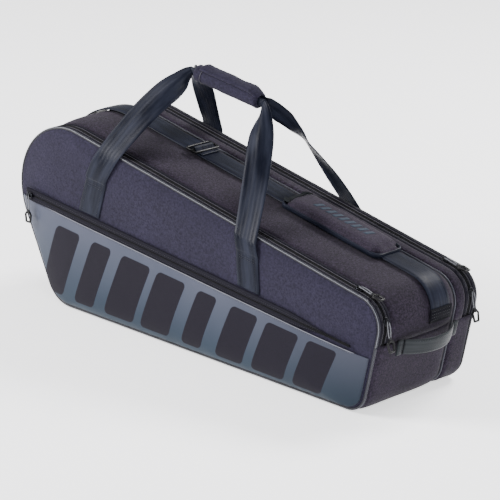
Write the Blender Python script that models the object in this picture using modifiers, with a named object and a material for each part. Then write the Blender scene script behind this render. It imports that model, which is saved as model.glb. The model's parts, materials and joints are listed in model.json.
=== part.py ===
"""Racket tournament bag: a long two-compartment bag that stands on its base, with a zipped flap on each
long side, a front pocket, two carrying handles that meet in a padded grip, an end handle and a shoulder strap.

Frame: +X runs towards the handle end of the rackets, -Y is the front with the pocket, +Z is up.
The origin is on the flat underside. Lengths are in metres. Each moving piece is parented to an empty
that stands on its joint's axis.
"""

import math

import bmesh
import bpy
from mathutils import Matrix, Vector

# Side outline of the bag: where its straight edges would meet, and the radius of each rounded corner.
CORNER_HANDLE_TOP = ((0.379, 0.166), 0.040)
CORNER_HEAD_TOP = ((-0.453, 0.324), 0.104)
CORNER_HEAD_BASE = ((-0.292, 0.004), 0.050)
CORNER_HANDLE_BASE = ((0.346, 0.004), 0.032)
SIDE_CORNERS = (CORNER_HANDLE_TOP, CORNER_HEAD_TOP, CORNER_HEAD_BASE, CORNER_HANDLE_BASE)
SIDE_MIDDLE = (0.0, 0.115)
FOLD_HANDLE_Z = 0.108

# Places across the bag, front to rear.
FRONT_PIPING_Y = -0.110
MID_PIPING_Y = 0.054
REAR_PIPING_Y = 0.100
ZIP_BAND = 0.022
GAP = 0.0004

# Walls and swellings.
GUSSET_WALL = 0.003
GUSSET_CROWN = 0.007
REAR_GUSSET_CROWN = 0.004
BASE_CROWN = 0.004
PANEL_WALL = 0.004
PANEL_BULGE = 0.008
BULGE_SQUARENESS = 8
PIPING_RADIUS = 0.0022
MID_PIPING_RADIUS = 0.0016
DIVIDER_WALL = 0.002
DIVIDER_INSET = 0.0038
BOARD_SIZE = (0.540, 0.130, 0.002)
BOARD_X = 0.030

# Zips.
TAPE_WALL = 0.0012
COIL_HEIGHT = 0.0010
COIL_WIDTH = 0.0028
POCKET_ZIP_DROP = 0.010
POCKET_ZIP_X = (-0.347, 0.330)
POCKET_TAPE_WIDTH = 0.009
POCKET_WALL = 0.0018
POCKET_BULGE = 0.0034
POCKET_FULLEST_BELOW = 0.060

# Sliders and their pulls.
SLIDER_SIZE = (0.0120, 0.0090, 0.0026)
SLIDER_RISE = COIL_HEIGHT + 0.0012
BRIDGE_RADIUS = 0.0024
BRIDGE_WIRE = 0.0007
PULL_WIRE = 0.0008
PULL_HALF_WIDTH = 0.0028
PULL_LENGTH = 0.026
TAB_LENGTH = 0.016
TAB_HALF_WIDTH = 0.0060
TAB_THICKNESS = 0.0022
UPPER_SLIDER_X = 0.322
LOWER_SLIDER_TURN = math.radians(14)
POCKET_SLIDER_X = -0.338

# Handles: (x, z) of each strap's sewn foot and of the line where it leaves the panel.
WEBBING_WIDTH = 0.044
WEBBING_WALL = 0.0018
STRAP_FOOT_X = {"left": -0.207, "right": 0.131}
STRAP_BEND = {"left": (-0.190, 0.226), "right": (0.126, 0.190)}
STRAP_EDGE_X = {"left": -0.168, "right": 0.118}
STRAP_CLEAR = 0.0020
GRIP_X = (-0.097, 0.034)
GRIP_Z = 0.382
GRIP_SLOPE = math.radians(7.5)
GRIP_RADIUS = 0.0130
GRIP_WALL = 0.0035
GRIP_SPLIT = 0.0009
GRIP_LIP = 0.008
GRIP_LIP_TILT = math.radians(70)

# Shoulder strap, its pad and adjuster, and the end handle.
STRAP_Y = 0.012
STRAP_WIDTH = 0.040
STRAP_LIFT = 0.0098
STRAP_SEAM_LIFT = 0.0084
PAD_X = (0.085, 0.285)
PAD_WIDTH = 0.062
PAD_FLOOR = 0.0014
PAD_THICKNESS = 0.012
ADJUSTER_X = -0.100
ADJUSTER_SIZE = (0.023, 0.051, 0.0036)
ADJUSTER_SLOT = (0.0060, 0.0420)
END_HANDLE_Z = 0.100
END_HANDLE_Y = (-0.062, 0.040)
END_HANDLE_REACH = 0.020
END_HANDLE_HEIGHT = 0.023
END_HANDLE_WALL = 0.003
END_TAB_SIZE = (0.0050, 0.0108, 0.023)

FLAP_AXIS_OUT = 0.025

FINISHES = {
    "shell_fabric": ((0.035, 0.030, 0.042), 0.85, 0.0),
    "coated_panel": ((0.105, 0.135, 0.165), 0.45, 0.0),
    "webbing": ((0.028, 0.032, 0.036), 0.55, 0.0),
    "zip_tape": ((0.012, 0.012, 0.016), 0.75, 0.0),
    "piping": ((0.300, 0.310, 0.340), 0.40, 0.0),
    "lining": ((0.045, 0.045, 0.050), 0.80, 0.0),
    "metal": ((0.180, 0.180, 0.190), 0.30, 1.0),
    "plastic": ((0.012, 0.012, 0.014), 0.35, 0.0),
}


# ---------------------------------------------------------------- scene helpers

def clear_scene():
    for old in list(bpy.data.objects):
        bpy.data.objects.remove(old)


def collection(name):
    made = bpy.data.collections.new(name)
    bpy.context.scene.collection.children.link(made)
    return made


def material(slot):
    """The Principled material of a slot, made once."""
    if slot in bpy.data.materials:
        return bpy.data.materials[slot]
    colour, roughness, metallic = FINISHES[slot]
    made = bpy.data.materials.new(slot)
    made.use_nodes = True
    shader = made.node_tree.nodes["Principled BSDF"]
    shader.inputs["Base Color"].default_value = (*colour, 1.0)
    shader.inputs["Roughness"].default_value = roughness
    shader.inputs["Metallic"].default_value = metallic
    return made


def add_pivot(name, place, parent=None):
    """An empty on a joint's axis, which its moving pieces are parented to."""
    pivot = bpy.data.objects.new(name, None)
    pivot.empty_display_size = 0.02
    pivot.location = Vector(place) - (parent["place"] if parent else Vector())
    if parent:
        pivot.parent = parent["empty"]
    bag.objects.link(pivot)
    return {"empty": pivot, "place": Vector(place)}


def add_object(name, data, slot, pivot=None):
    """A piece of the bag, modelled in place, and parented to its pivot if it moves."""
    obj = bpy.data.objects.new(name, data)
    data.materials.append(material(slot))
    bag.objects.link(obj)
    if pivot:
        obj.parent = pivot["empty"]
        obj.matrix_parent_inverse = Matrix.Translation(-pivot["place"])
    return obj


def mesh_from(bm, name):
    bmesh.ops.recalc_face_normals(bm, faces=bm.faces)
    mesh = bpy.data.meshes.new(name)
    bm.to_mesh(mesh)
    bm.free()
    mesh.shade_smooth()
    mesh.set_sharp_from_angle(angle=math.radians(40))
    return mesh


def loft(sections):
    """A closed skin through sections, which are rings with the same number of points."""
    bm = bmesh.new()
    rings = [[bm.verts.new(point) for point in section] for section in sections]
    count = len(rings[0])
    for ring, following in zip(rings, rings[1:]):
        for i in range(count):
            j = (i + 1) % count
            bm.faces.new((ring[i], ring[j], following[j], following[i]))
    bm.faces.new(rings[0])
    bm.faces.new(rings[-1])
    return bm


def tube(name, points, radius, slot, pivot=None, closed=False):
    """A round piping or wire through the points."""
    data = bpy.data.curves.new(name, "CURVE")
    data.dimensions = "3D"
    data.bevel_depth = radius
    data.bevel_resolution = 1
    data.use_fill_caps = not closed
    spline = data.splines.new("POLY")
    spline.points.add(len(points) - 1)
    spline.use_cyclic_u = closed
    for spline_point, point in zip(spline.points, points):
        spline_point.co = (*point, 1.0)
    return add_object(name, data, slot, pivot)


def prism(name, outline, shift, slot, pivot=None):
    """An outline of points carried straight along shift."""
    near = [Vector(point) for point in outline]
    far = [point + Vector(shift) for point in near]
    return add_object(name, mesh_from(loft([near, far]), name), slot, pivot)


def block(name, size, matrix, slot, pivot=None):
    """A box of that size, with its own X, Y and Z given by the matrix."""
    bm = bmesh.new()
    bmesh.ops.create_cube(bm, size=1.0, matrix=matrix @ Matrix.Diagonal((*size, 1.0)))
    return add_object(name, mesh_from(bm, name), slot, pivot)


def use_as_cutter(obj, target, operation="DIFFERENCE"):
    bag.objects.unlink(obj)
    cutters.objects.link(obj)
    obj.hide_render = True
    obj.display_type = "WIRE"
    boolean = target.modifiers.new("cut", "BOOLEAN")
    boolean.operation = operation
    boolean.object = obj


def axes(x_axis, z_axis):
    """A rotation matrix from its X and Z directions."""
    x_axis, z_axis = Vector(x_axis).normalized(), Vector(z_axis).normalized()
    return Matrix((x_axis, z_axis.cross(x_axis), z_axis)).transposed().to_4x4()


# ---------------------------------------------------------------- the side outline

def unit(vector):
    length = math.hypot(*vector)
    return (vector[0] / length, vector[1] / length)


def side_corner(index):
    """(arc centre, radius, first normal angle, last normal angle) of a rounded corner, anticlockwise."""
    corner, radius = SIDE_CORNERS[index]
    before = SIDE_CORNERS[index - 1][0]
    after = SIDE_CORNERS[(index + 1) % len(SIDE_CORNERS)][0]
    incoming = unit((corner[0] - before[0], corner[1] - before[1]))
    outgoing = unit((after[0] - corner[0], after[1] - corner[1]))
    first = math.atan2(-incoming[0], incoming[1])
    last = math.atan2(-outgoing[0], outgoing[1])
    while last < first:
        last += math.tau
    middle = (first + last) / 2
    back = radius / math.cos((last - first) / 2)
    centre = (corner[0] - back * math.cos(middle), corner[1] - back * math.sin(middle))
    return centre, radius, first, last


def arc(index, offset, steps, first=None, last=None):
    """Points of a corner's arc, offset outwards; first and last replace the arc's own end angles."""
    centre, radius, own_first, own_last = side_corner(index)
    first = own_first if first is None else first
    last = own_last if last is None else last
    reach = radius + offset
    turns = [first + (last - first) * i / steps for i in range(steps + 1)]
    return [(centre[0] + reach * math.cos(t), centre[1] + reach * math.sin(t)) for t in turns]


def subdivided(start, end, pieces):
    """The points between start and end that cut the line into equal pieces, ends left out."""
    return [
        (start[0] + (end[0] - start[0]) * i / pieces, start[1] + (end[1] - start[1]) * i / pieces)
        for i in range(1, pieces)
    ]


def handle_fold_point(offset):
    """Where the fold and the zips end, on the straight edge of the handle end."""
    low, high = arc(3, offset, 1)[-1], arc(0, offset, 1)[0]
    plain_low, plain_high = arc(3, 0.0, 1)[-1], arc(0, 0.0, 1)[0]
    share = (FOLD_HANDLE_Z - plain_low[1]) / (plain_high[1] - plain_low[1])
    return (low[0] + (high[0] - low[0]) * share, low[1] + (high[1] - low[1]) * share)


def upper_path(offset=0.0):
    """The outline from the handle-end fold over the top to the head end, where a zip opens the bag."""
    handle_arc = arc(0, offset, 6)
    head_arc = arc(1, offset, 8, last=math.pi)
    top = subdivided(handle_arc[-1], head_arc[0], 5)
    return [handle_fold_point(offset)] + handle_arc + top + head_arc


def lower_path(offset=0.0):
    """The outline from the head end under the base to the handle-end fold, where the bag stays sewn."""
    head_arc = arc(1, offset, 2, first=math.pi)
    head_base = arc(2, offset, 4)
    handle_base = arc(3, offset, 4)
    end = handle_fold_point(offset)
    return (
        head_arc
        + subdivided(head_arc[-1], head_base[0], 2)
        + head_base
        + subdivided(head_base[-1], handle_base[0], 5)
        + handle_base
        + subdivided(handle_base[-1], end, 2)
        + [end]
    )


LOWER_STRIPS = {"head_end": (0, 8), "base": (8, 13), "handle_end": (13, 19)}  # by lower_path's points


def trimmed(points, amount):
    """A path of (x, z) points with its two ends cut back by that length."""
    cut = list(points)
    for end, inner in ((0, 1), (-1, -2)):
        a, b = Vector(cut[end]), Vector(cut[inner])
        cut[end] = tuple(a + (b - a).normalized() * amount)
    return cut


FOLD_HEAD = arc(1, 0.0, 1, last=math.pi)[-1]
FOLD_HANDLE = handle_fold_point(0.0)
TOP_START, TOP_END = arc(0, 0.0, 1)[-1], arc(1, 0.0, 1)[0]
ALONG_TOP = Vector((TOP_START[0] - TOP_END[0], 0, TOP_START[1] - TOP_END[1])).normalized()
ALONG_FOLD = Vector((FOLD_HANDLE[0] - FOLD_HEAD[0], 0, FOLD_HANDLE[1] - FOLD_HEAD[1])).normalized()
OFF_TOP = Vector((-ALONG_TOP.z, 0, ALONG_TOP.x))


def fold_z(x):
    """Height of the line that the flaps fold along."""
    share = (x - FOLD_HEAD[0]) / (FOLD_HANDLE[0] - FOLD_HEAD[0])
    return FOLD_HEAD[1] + share * (FOLD_HANDLE[1] - FOLD_HEAD[1])


def pocket_z(x):
    """Height of the pocket's zip."""
    return fold_z(x) - POCKET_ZIP_DROP


def top_point(x, y=0.0, rise=0.0):
    """A point on the straight top edge at x, raised square to the edge."""
    z = TOP_START[1] + (x - TOP_START[0]) * ALONG_TOP.z / ALONG_TOP.x
    return Vector((x, y, z)) + OFF_TOP * rise


def gauge(x, z):
    """0 in the middle of the side outline, 1 on it, and even shapes like it in between."""
    ring = upper_path() + lower_path()[1:-1]
    most = 0.0
    for a, b in zip(ring, ring[1:] + ring[:1]):
        along = unit((b[0] - a[0], b[1] - a[1]))
        normal = (along[1], -along[0])
        reach = normal[0] * (a[0] - SIDE_MIDDLE[0]) + normal[1] * (a[1] - SIDE_MIDDLE[1])
        here = normal[0] * (x - SIDE_MIDDLE[0]) + normal[1] * (z - SIDE_MIDDLE[1])
        most = max(most, here / reach)
    return most


def swelling(x, z):
    """How far a side panel stands out at a point: nothing at the outline, all of it in the middle."""
    return PANEL_BULGE * max(0.0, 1.0 - gauge(x, z) ** BULGE_SQUARENESS)


def front_face(x, z):
    return FRONT_PIPING_Y - 0.001 - swelling(x, z)


def rear_face(x, z):
    return REAR_PIPING_Y + 0.001 + swelling(x, z)


# ---------------------------------------------------------------- gussets, tapes and piping

FRONT_SEAM = FRONT_PIPING_Y + PIPING_RADIUS + GAP
REAR_SEAM = REAR_PIPING_Y - PIPING_RADIUS - GAP
MID_SEAM_FRONT = MID_PIPING_Y - MID_PIPING_RADIUS - GAP
MID_SEAM_REAR = MID_PIPING_Y + MID_PIPING_RADIUS + GAP


def band(name, path, trim, section, slot, pivot=None):
    """A band that follows the outline: section(z) gives its ring of (y, offset) points at that height."""
    heights = [z for _, z in path()]
    rings = [section(z) for z in heights]
    offsets = {offset for ring in rings for _, offset in ring}
    paths = {offset: trimmed(path(offset), trim) for offset in offsets}
    sections = [
        [(paths[offset][i][0], y, paths[offset][i][1]) for y, offset in ring]
        for i, ring in enumerate(rings)
    ]
    return add_object(name, mesh_from(loft(sections), name), slot, pivot)


def wall_ring(front, rear, shares, rises):
    """The section of a cloth wall between two seams, whose outer side rises by that much at each share."""
    outer = [(front + (rear - front) * s, round(r, 6)) for s, r in zip(shares, rises)]
    inner = [(y, round(offset - GUSSET_WALL, 6)) for y, offset in reversed(outer)]
    return outer + inner


def crowned_section(front, rear, crown):
    shares = (0.0, 0.08, 0.25, 0.5, 0.75, 0.92, 1.0)
    fullness = (0.0, 0.55, 0.9, 1.0, 0.9, 0.55, 0.0)
    ring = wall_ring(front, rear, shares, [crown * f for f in fullness])
    return lambda z: ring


def base_section(front, rear, crown):
    """The wall under the bag: flat across the underside, and crowned like the gussets further up."""
    shares = (0.0, 0.06, 0.30, 0.70, 0.94, 1.0)
    flat = (0.0, 1.0, 1.0, 1.0, 1.0, 0.0)
    side = (0.0, 0.45, 0.95, 0.95, 0.45, 0.0)

    def section(z):
        share = min(1.0, max(0.0, (z - 0.03) / 0.09))
        rises = [BASE_CROWN * f * (1 - share) + crown * s * share for f, s in zip(flat, side)]
        return wall_ring(front, rear, shares, rises)

    return section


def tape_section(seam, middle):
    """A zip tape from its seam to the middle of the zip, with half the coil as a bead on its free edge."""
    side = 1.0 if middle > seam else -1.0
    bead = middle - side * COIL_WIDTH
    free = middle - side * GAP / 2
    ring = [
        (seam, -TAPE_WALL),
        (seam, 0.0),
        (bead, 0.0),
        (bead + side * 0.0006, COIL_HEIGHT),
        (free, COIL_HEIGHT),
        (free, -TAPE_WALL),
    ]
    return lambda z: ring


def add_gussets():
    top_front = crowned_section(FRONT_SEAM + ZIP_BAND, MID_SEAM_FRONT, GUSSET_CROWN)
    top_rear = crowned_section(MID_SEAM_REAR, REAR_SEAM - ZIP_BAND, REAR_GUSSET_CROWN)
    base_front = base_section(FRONT_SEAM, MID_SEAM_FRONT, GUSSET_CROWN)
    base_rear = base_section(MID_SEAM_REAR, REAR_SEAM, REAR_GUSSET_CROWN)
    band("main_gusset_top", upper_path, GAP, top_front, "shell_fabric")
    band("rear_gusset_top", upper_path, GAP, top_rear, "shell_fabric")
    for word, section in (("main", base_front), ("rear", base_rear)):
        for strip, (first, last) in LOWER_STRIPS.items():
            stretch = lambda offset=0.0, a=first, b=last: lower_path(offset)[a : b + 1]
            band(f"{word}_gusset_{strip}", stretch, GAP, section, "shell_fabric")


def add_zip_tapes(side, seam, inward, flap):
    """The two tapes of a compartment's zip: the outer one opens with the flap."""
    middle = seam + inward * ZIP_BAND / 2
    outer = tape_section(seam, middle)
    inner = tape_section(seam + inward * (ZIP_BAND - GAP), middle)
    band(f"{side}_zip_outer_tape", upper_path, 0.0006, outer, "zip_tape", flap)
    band(f"{side}_zip_inner_tape", upper_path, 0.0006, inner, "zip_tape")


def add_piping(side, y, flap):
    for part, path, pivot in (("upper", upper_path, flap), ("lower", lower_path, None)):
        route = [(x, y, z) for x, z in trimmed(path(), 0.0010)]
        tube(f"{side}_piping_{part}", route, PIPING_RADIUS, "piping", pivot)


def add_middle_seam():
    """The middle piping and the divider between the two compartments, which is caught in its seam."""
    route = [(x, MID_PIPING_Y, z) for x, z in upper_path() + lower_path()[1:-1]]
    tube("middle_piping", route, MID_PIPING_RADIUS, "piping", closed=True)
    inset = upper_path(-DIVIDER_INSET) + lower_path(-DIVIDER_INSET)[1:-1]
    ring = [(x, MID_PIPING_Y - DIVIDER_WALL / 2, z) for x, z in inset]
    prism("divider", ring, (0, DIVIDER_WALL, 0), "lining")


def add_base_board():
    """The stiffener that lies in the bottom of the main compartment."""
    y = (FRONT_PIPING_Y + MID_PIPING_Y) / 2
    z = GUSSET_WALL + GAP + BOARD_SIZE[2] / 2
    block("base_board", BOARD_SIZE, Matrix.Translation((BOARD_X, y, z)), "lining")


# ---------------------------------------------------------------- side panels and the pocket

def below(rim, height_of):
    """The part of a rim that lies under a line, with its two ends moved onto the line."""
    clear = [point[1] - height_of(point[0]) for point in rim]
    kept = [i for i, above in enumerate(clear) if above < -0.002]

    def crossing(out, inside):
        share = clear[out] / (clear[out] - clear[inside])
        return tuple(rim[out][k] + (rim[inside][k] - rim[out][k]) * share for k in (0, 1))

    first, last = kept[0], kept[-1]
    return [crossing(first - 1, first)] + rim[first:last + 1] + [crossing(last + 1, last)]


def panel(name, rim, height_of, face, wall, slot, pivot=None, rows=5):
    """A cloth panel between its rim and a straight lower or upper edge, with its outer side at face(x, z)."""
    first, last = rim[0][0], rim[-1][0]
    bm = bmesh.new()
    grid = []
    for i, (rim_x, rim_z) in enumerate(rim):
        edge_x = first + (last - first) * i / (len(rim) - 1)
        edge_z = height_of(edge_x)
        line = []
        for row in range(rows + 1):
            share = row / rows
            x = edge_x + (rim_x - edge_x) * share
            z = edge_z + (rim_z - edge_z) * share
            line.append(bm.verts.new((x, face(x, z), z)))
        grid.append(line)
    for line, following in zip(grid, grid[1:]):
        for row in range(rows):
            bm.faces.new((line[row], line[row + 1], following[row + 1], following[row]))
    bmesh.ops.remove_doubles(bm, verts=bm.verts, dist=0.0002)
    bmesh.ops.recalc_face_normals(bm, faces=bm.faces)
    facing = sum(cell.normal.y * cell.calc_area() for cell in bm.faces)
    if facing * face(*SIDE_MIDDLE) < 0:
        bmesh.ops.reverse_faces(bm, faces=bm.faces)
    mesh = bpy.data.meshes.new(name)
    bm.to_mesh(mesh)
    bm.free()
    mesh.shade_smooth()
    obj = add_object(name, mesh, slot, pivot)
    skin = obj.modifiers.new("wall", "SOLIDIFY")
    skin.thickness = wall
    skin.offset = -1.0
    return obj


def add_side(side, face, flap):
    """A side's two panels: the upper one is the flap's, and the lower one stays sewn."""
    edge = PIPING_RADIUS + 2 * GAP
    upper, lower = upper_path(-edge), lower_path(-edge)
    panel(f"{side}_panel_upper", upper, lambda x: fold_z(x) + GAP, face, PANEL_WALL, "shell_fabric", flap)
    panel(f"{side}_panel_lower", lower, lambda x: fold_z(x) - GAP, face, PANEL_WALL, "shell_fabric")


def pocket_face(x, z):
    """The pocket's outer side: it lies closest at its sewn rim and stands off most below its zip."""
    inside = max(0.0, 1.0 - gauge(x, z) ** 4)
    share = min(1.0, max(0.0, (pocket_z(x) - z) / POCKET_FULLEST_BELOW))
    rise = 0.0008 + POCKET_BULGE * inside * (0.3 + 0.7 * math.sin(share * math.pi / 2))
    return front_face(x, z) - POCKET_WALL - rise


POCKET_ZIP_Y = FRONT_PIPING_Y - 0.001 - PANEL_BULGE - 0.0006


def add_pocket_tape(name, side, pivot=None):
    """Half of the pocket's zip, above (side 1) or below (side -1) its line, with half the coil as a bead."""
    ends = []
    for x in POCKET_ZIP_X:
        line = pocket_z(x)
        outer = POCKET_ZIP_Y - TAPE_WALL
        ends.append([
            (x, POCKET_ZIP_Y, line + side * GAP / 2),
            (x, outer - COIL_HEIGHT, line + side * GAP / 2),
            (x, outer - COIL_HEIGHT, line + side * (COIL_WIDTH - 0.0006)),
            (x, outer, line + side * COIL_WIDTH),
            (x, outer, line + side * POCKET_TAPE_WIDTH),
            (x, POCKET_ZIP_Y, line + side * POCKET_TAPE_WIDTH),
        ])
    add_object(name, mesh_from(loft(ends), name), "zip_tape", pivot)


def add_pocket(pocket):
    def top_edge(x):
        return pocket_z(x) - POCKET_TAPE_WIDTH - GAP

    rim = below(lower_path(-0.0065), top_edge)
    panel("pocket_panel", rim, top_edge, pocket_face, POCKET_WALL, "coated_panel", pocket, rows=6)
    add_pocket_tape("pocket_zip_lower_tape", -1, pocket)
    add_pocket_tape("pocket_zip_upper_tape", 1)


# ---------------------------------------------------------------- handles

def ribbon(name, stations, pieces, wall, slot, pivot=None):
    """Flat webbing through stations, each (centre, width direction, width), smoothed between them."""
    centres = [Vector(centre) for centre, _, _ in stations]
    sides = [Vector(side).normalized() for _, side, _ in stations]
    widths = [Vector((width, 0, 0)) for _, _, width in stations]

    def smooth(values, i, t):
        before, a = values[max(i - 1, 0)], values[i]
        b, after = values[i + 1], values[min(i + 2, len(values) - 1)]
        slope = (b - before) * t
        bend = (2 * before - 5 * a + 4 * b - after) * t**2
        return 0.5 * (2 * a + slope + bend + (3 * a - before - 3 * b + after) * t**3)

    steps = [(i, k / pieces) for i in range(len(stations) - 1) for k in range(pieces)]
    steps.append((len(stations) - 2, 1.0))
    points = [smooth(centres, i, t) for i, t in steps]
    sections = []
    for k, (i, t) in enumerate(steps):
        along = (points[min(k + 1, len(points) - 1)] - points[max(k - 1, 0)]).normalized()
        side = smooth(sides, i, t)
        half = side.normalized() * widths[i].lerp(widths[i + 1], t).x / 2
        deep = along.cross(side).normalized() * wall / 2
        point = points[k]
        sections.append([point - half - deep, point + half - deep, point + half + deep, point - half + deep])
    return add_object(name, mesh_from(loft(sections), name), slot, pivot)


def strap_y(side, x, z):
    """Where webbing that lies on a side panel has its middle."""
    face = front_face if side < 0 else rear_face
    proud = max(abs(face(x + s * WEBBING_WIDTH / 2, z)) for s in (-1, 0, 1))
    return side * (proud + WEBBING_WALL / 2 + GAP)


def add_strap_feet(side, word, flap):
    """The sewn stretch of each strap, from the fold to the line where the strap leaves the panel."""
    for end, foot_x in STRAP_FOOT_X.items():
        foot, bend = (foot_x, fold_z(foot_x) + 0.003), STRAP_BEND[end]
        stations = []
        for share in (0.0, 0.5, 0.92):
            x = foot[0] + (bend[0] - foot[0]) * share
            z = foot[1] + (bend[1] - foot[1]) * share
            stations.append(((x, strap_y(side, x, z), z), ALONG_FOLD, WEBBING_WIDTH))
        ribbon(f"{word}_webbing_{end}", stations, 1, WEBBING_WALL, "webbing", flap)


def grip_point(x, side):
    """The middle of one handle's webbing inside the grip."""
    middle = (GRIP_X[0] + GRIP_X[1]) / 2
    return Vector((x, side * 0.0050, GRIP_Z - math.tan(GRIP_SLOPE) * (x - middle)))


def handle_stations(side):
    """One handle's free webbing: up from the left bend, over the edge, through the grip and down again."""
    piping_y = FRONT_PIPING_Y if side < 0 else REAR_PIPING_Y
    stations = []
    for end, turn, grip_end in (("left", 1, GRIP_X[0]), ("right", -1, GRIP_X[1])):
        across = ALONG_TOP * turn
        bend_x, bend_z = STRAP_BEND[end]
        at_bend = ALONG_FOLD * turn
        bend = Vector((bend_x, strap_y(side, bend_x, bend_z) + side * STRAP_CLEAR, bend_z + STRAP_CLEAR))
        edge = top_point(STRAP_EDGE_X[end], piping_y + side * 0.0036, 0.0020)
        mouth = grip_point(grip_end - turn * 0.010, side) + Vector((0, side * 0.0015, -0.002))
        low = edge.lerp(mouth, 0.35) + OFF_TOP * 0.006
        high = edge.lerp(mouth, 0.72) + OFF_TOP * 0.004
        half = [
            (bend, at_bend, WEBBING_WIDTH),
            (bend.lerp(edge, 0.55) + Vector((0, side * 0.0022, 0)), across, WEBBING_WIDTH),
            (edge, across, WEBBING_WIDTH),
            (low, across, WEBBING_WIDTH),
            (high, (turn * 0.9, 0, -0.45), 0.038),
            (mouth, (turn * 0.35, 0, -0.95), 0.0165),
            (grip_point(grip_end + turn * 0.004, side), (0, 0, -1), 0.012),
        ]
        stations += half if turn > 0 else half[::-1]
    return stations


def grip_outline(side):
    """Half of the padded grip in section: a half ring round one handle's webbing, and a closing lip on top."""
    split = GRIP_SPLIT * side
    steps = 8
    angles = [math.pi * i / steps - math.pi / 2 for i in range(steps + 1)]
    inner = GRIP_RADIUS - GRIP_WALL
    outer_arc = [(split + side * GRIP_RADIUS * math.cos(a), GRIP_RADIUS * math.sin(a)) for a in angles]
    inner_arc = [(split + side * inner * math.cos(a), inner * math.sin(a)) for a in reversed(angles)]
    lean = Vector((-math.sin(GRIP_LIP_TILT), math.cos(GRIP_LIP_TILT)))
    crest = Vector((split, GRIP_RADIUS + 0.0009))
    if side < 0:
        foot = Vector((split - 0.0034, GRIP_RADIUS * 0.97 - 0.0006))
        tip = foot + lean * GRIP_LIP
        lip = [foot, tip, tip + Vector((0.0012, 0.0016))]
    else:
        tip = crest + lean * (GRIP_LIP + 0.002)
        lip = [Vector((0.0052, GRIP_RADIUS - 0.0001)), Vector((0.0034, GRIP_RADIUS + 0.0041))]
        lip += [tip + Vector((0.0016, 0.0030)), tip + Vector((0.0004, 0.0014))]
    return outer_arc[:-1] + [tuple(point) for point in lip] + [tuple(crest)] + inner_arc


def add_handle(side, word, handle):
    ribbon(f"{word}_handle_webbing", handle_stations(side), 3, WEBBING_WALL, "webbing", handle)
    length = GRIP_X[1] - GRIP_X[0]
    middle = Vector(((GRIP_X[0] + GRIP_X[1]) / 2, 0, GRIP_Z))
    place = Matrix.Translation(middle) @ Matrix.Rotation(GRIP_SLOPE, 4, "Y")
    outline = [place @ Vector((-length / 2, y, z)) for y, z in grip_outline(side)]
    along = place.to_3x3() @ Vector((length, 0, 0))
    prism(f"{word}_grip_wrap", outline, along, "shell_fabric", handle)


# ---------------------------------------------------------------- shoulder strap and end handle

def top_matrix(x, y, rise):
    """A matrix that lies on the top edge at x, with its X along the edge and its Z off it."""
    return Matrix.Translation(top_point(x, y, rise)) @ axes(ALONG_TOP, OFF_TOP)


def strap_lift(i, count):
    """How far above the outline the strap runs: sewn down at its two ends."""
    share = min(1.0, min(i, count - 1 - i) / 2)
    return round(STRAP_SEAM_LIFT + (STRAP_LIFT - STRAP_SEAM_LIFT) * share, 6)


def strap_path(offset=0.0):
    """The outline that the shoulder strap follows, from the handle end's corner to the head end."""
    return trimmed(upper_path(offset)[1:], 0.004)


def laid_webbing(name, width, lift, wall, chosen, slot):
    """Webbing along the top of the bag, on the chosen stretch of the strap's path."""
    count = len(strap_path())
    near, far = STRAP_Y - width / 2, STRAP_Y + width / 2
    sections = []
    for i in chosen:
        rise = strap_lift(i, count) + lift
        low, high = strap_path(rise)[i], strap_path(rise + wall)[i]
        sections.append([
            (low[0], near, low[1]), (low[0], far, low[1]), (high[0], far, high[1]), (high[0], near, high[1]),
        ])
    add_object(name, mesh_from(loft(sections), name), slot)


def add_shoulder_strap(pad_pivot, adjuster_pivot):
    count = len(strap_path())
    laid_webbing("shoulder_strap", STRAP_WIDTH, 0.0, WEBBING_WALL, range(count), "webbing")
    patch = WEBBING_WALL + GAP
    laid_webbing("strap_patch_handle_end", STRAP_WIDTH + 0.004, patch, 0.0012, (0, 1), "webbing")
    laid_webbing("strap_patch_head_end", STRAP_WIDTH + 0.004, patch, 0.0012, (count - 2, count - 1), "webbing")

    middle = (PAD_X[0] + PAD_X[1]) / 2
    length = (PAD_X[1] - PAD_X[0]) / ALONG_TOP.x
    floor = STRAP_LIFT - GAP - PAD_FLOOR
    place = top_matrix(middle, STRAP_Y, floor + PAD_THICKNESS / 2)
    pad = block("shoulder_pad", (length, PAD_WIDTH, PAD_THICKNESS), place, "shell_fabric", pad_pivot)
    tunnel_height = WEBBING_WALL + 2 * GAP
    place = top_matrix(middle, STRAP_Y, STRAP_LIFT - GAP + tunnel_height / 2)
    tunnel = block("pad_tunnel", (length + 0.02, STRAP_WIDTH + 0.002, tunnel_height), place, "plastic")
    use_as_cutter(tunnel, pad)
    rounding = pad.modifiers.new("rounding", "BEVEL")
    rounding.width = 0.0004

    rise = STRAP_LIFT + WEBBING_WALL + GAP + ADJUSTER_SIZE[2] / 2
    place = top_matrix(ADJUSTER_X, STRAP_Y, rise)
    adjuster = block("strap_adjuster", ADJUSTER_SIZE, place, "plastic", adjuster_pivot)
    for number, sign in enumerate((-1, 1)):
        place = top_matrix(ADJUSTER_X + sign * 0.0052, STRAP_Y, rise)
        slot = block(f"adjuster_slot_{number}", (*ADJUSTER_SLOT, 0.02), place, "plastic")
        use_as_cutter(slot, adjuster)


def end_wall_x(z):
    """X of the handle end's outer face, at the top of its crown."""
    (corner_x, corner_z), (base_x, base_z) = arc(0, 0.0, 1)[0], arc(3, 0.0, 1)[-1]
    return base_x + (corner_x - base_x) * (z - base_z) / (corner_z - base_z) + GUSSET_CROWN


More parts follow.
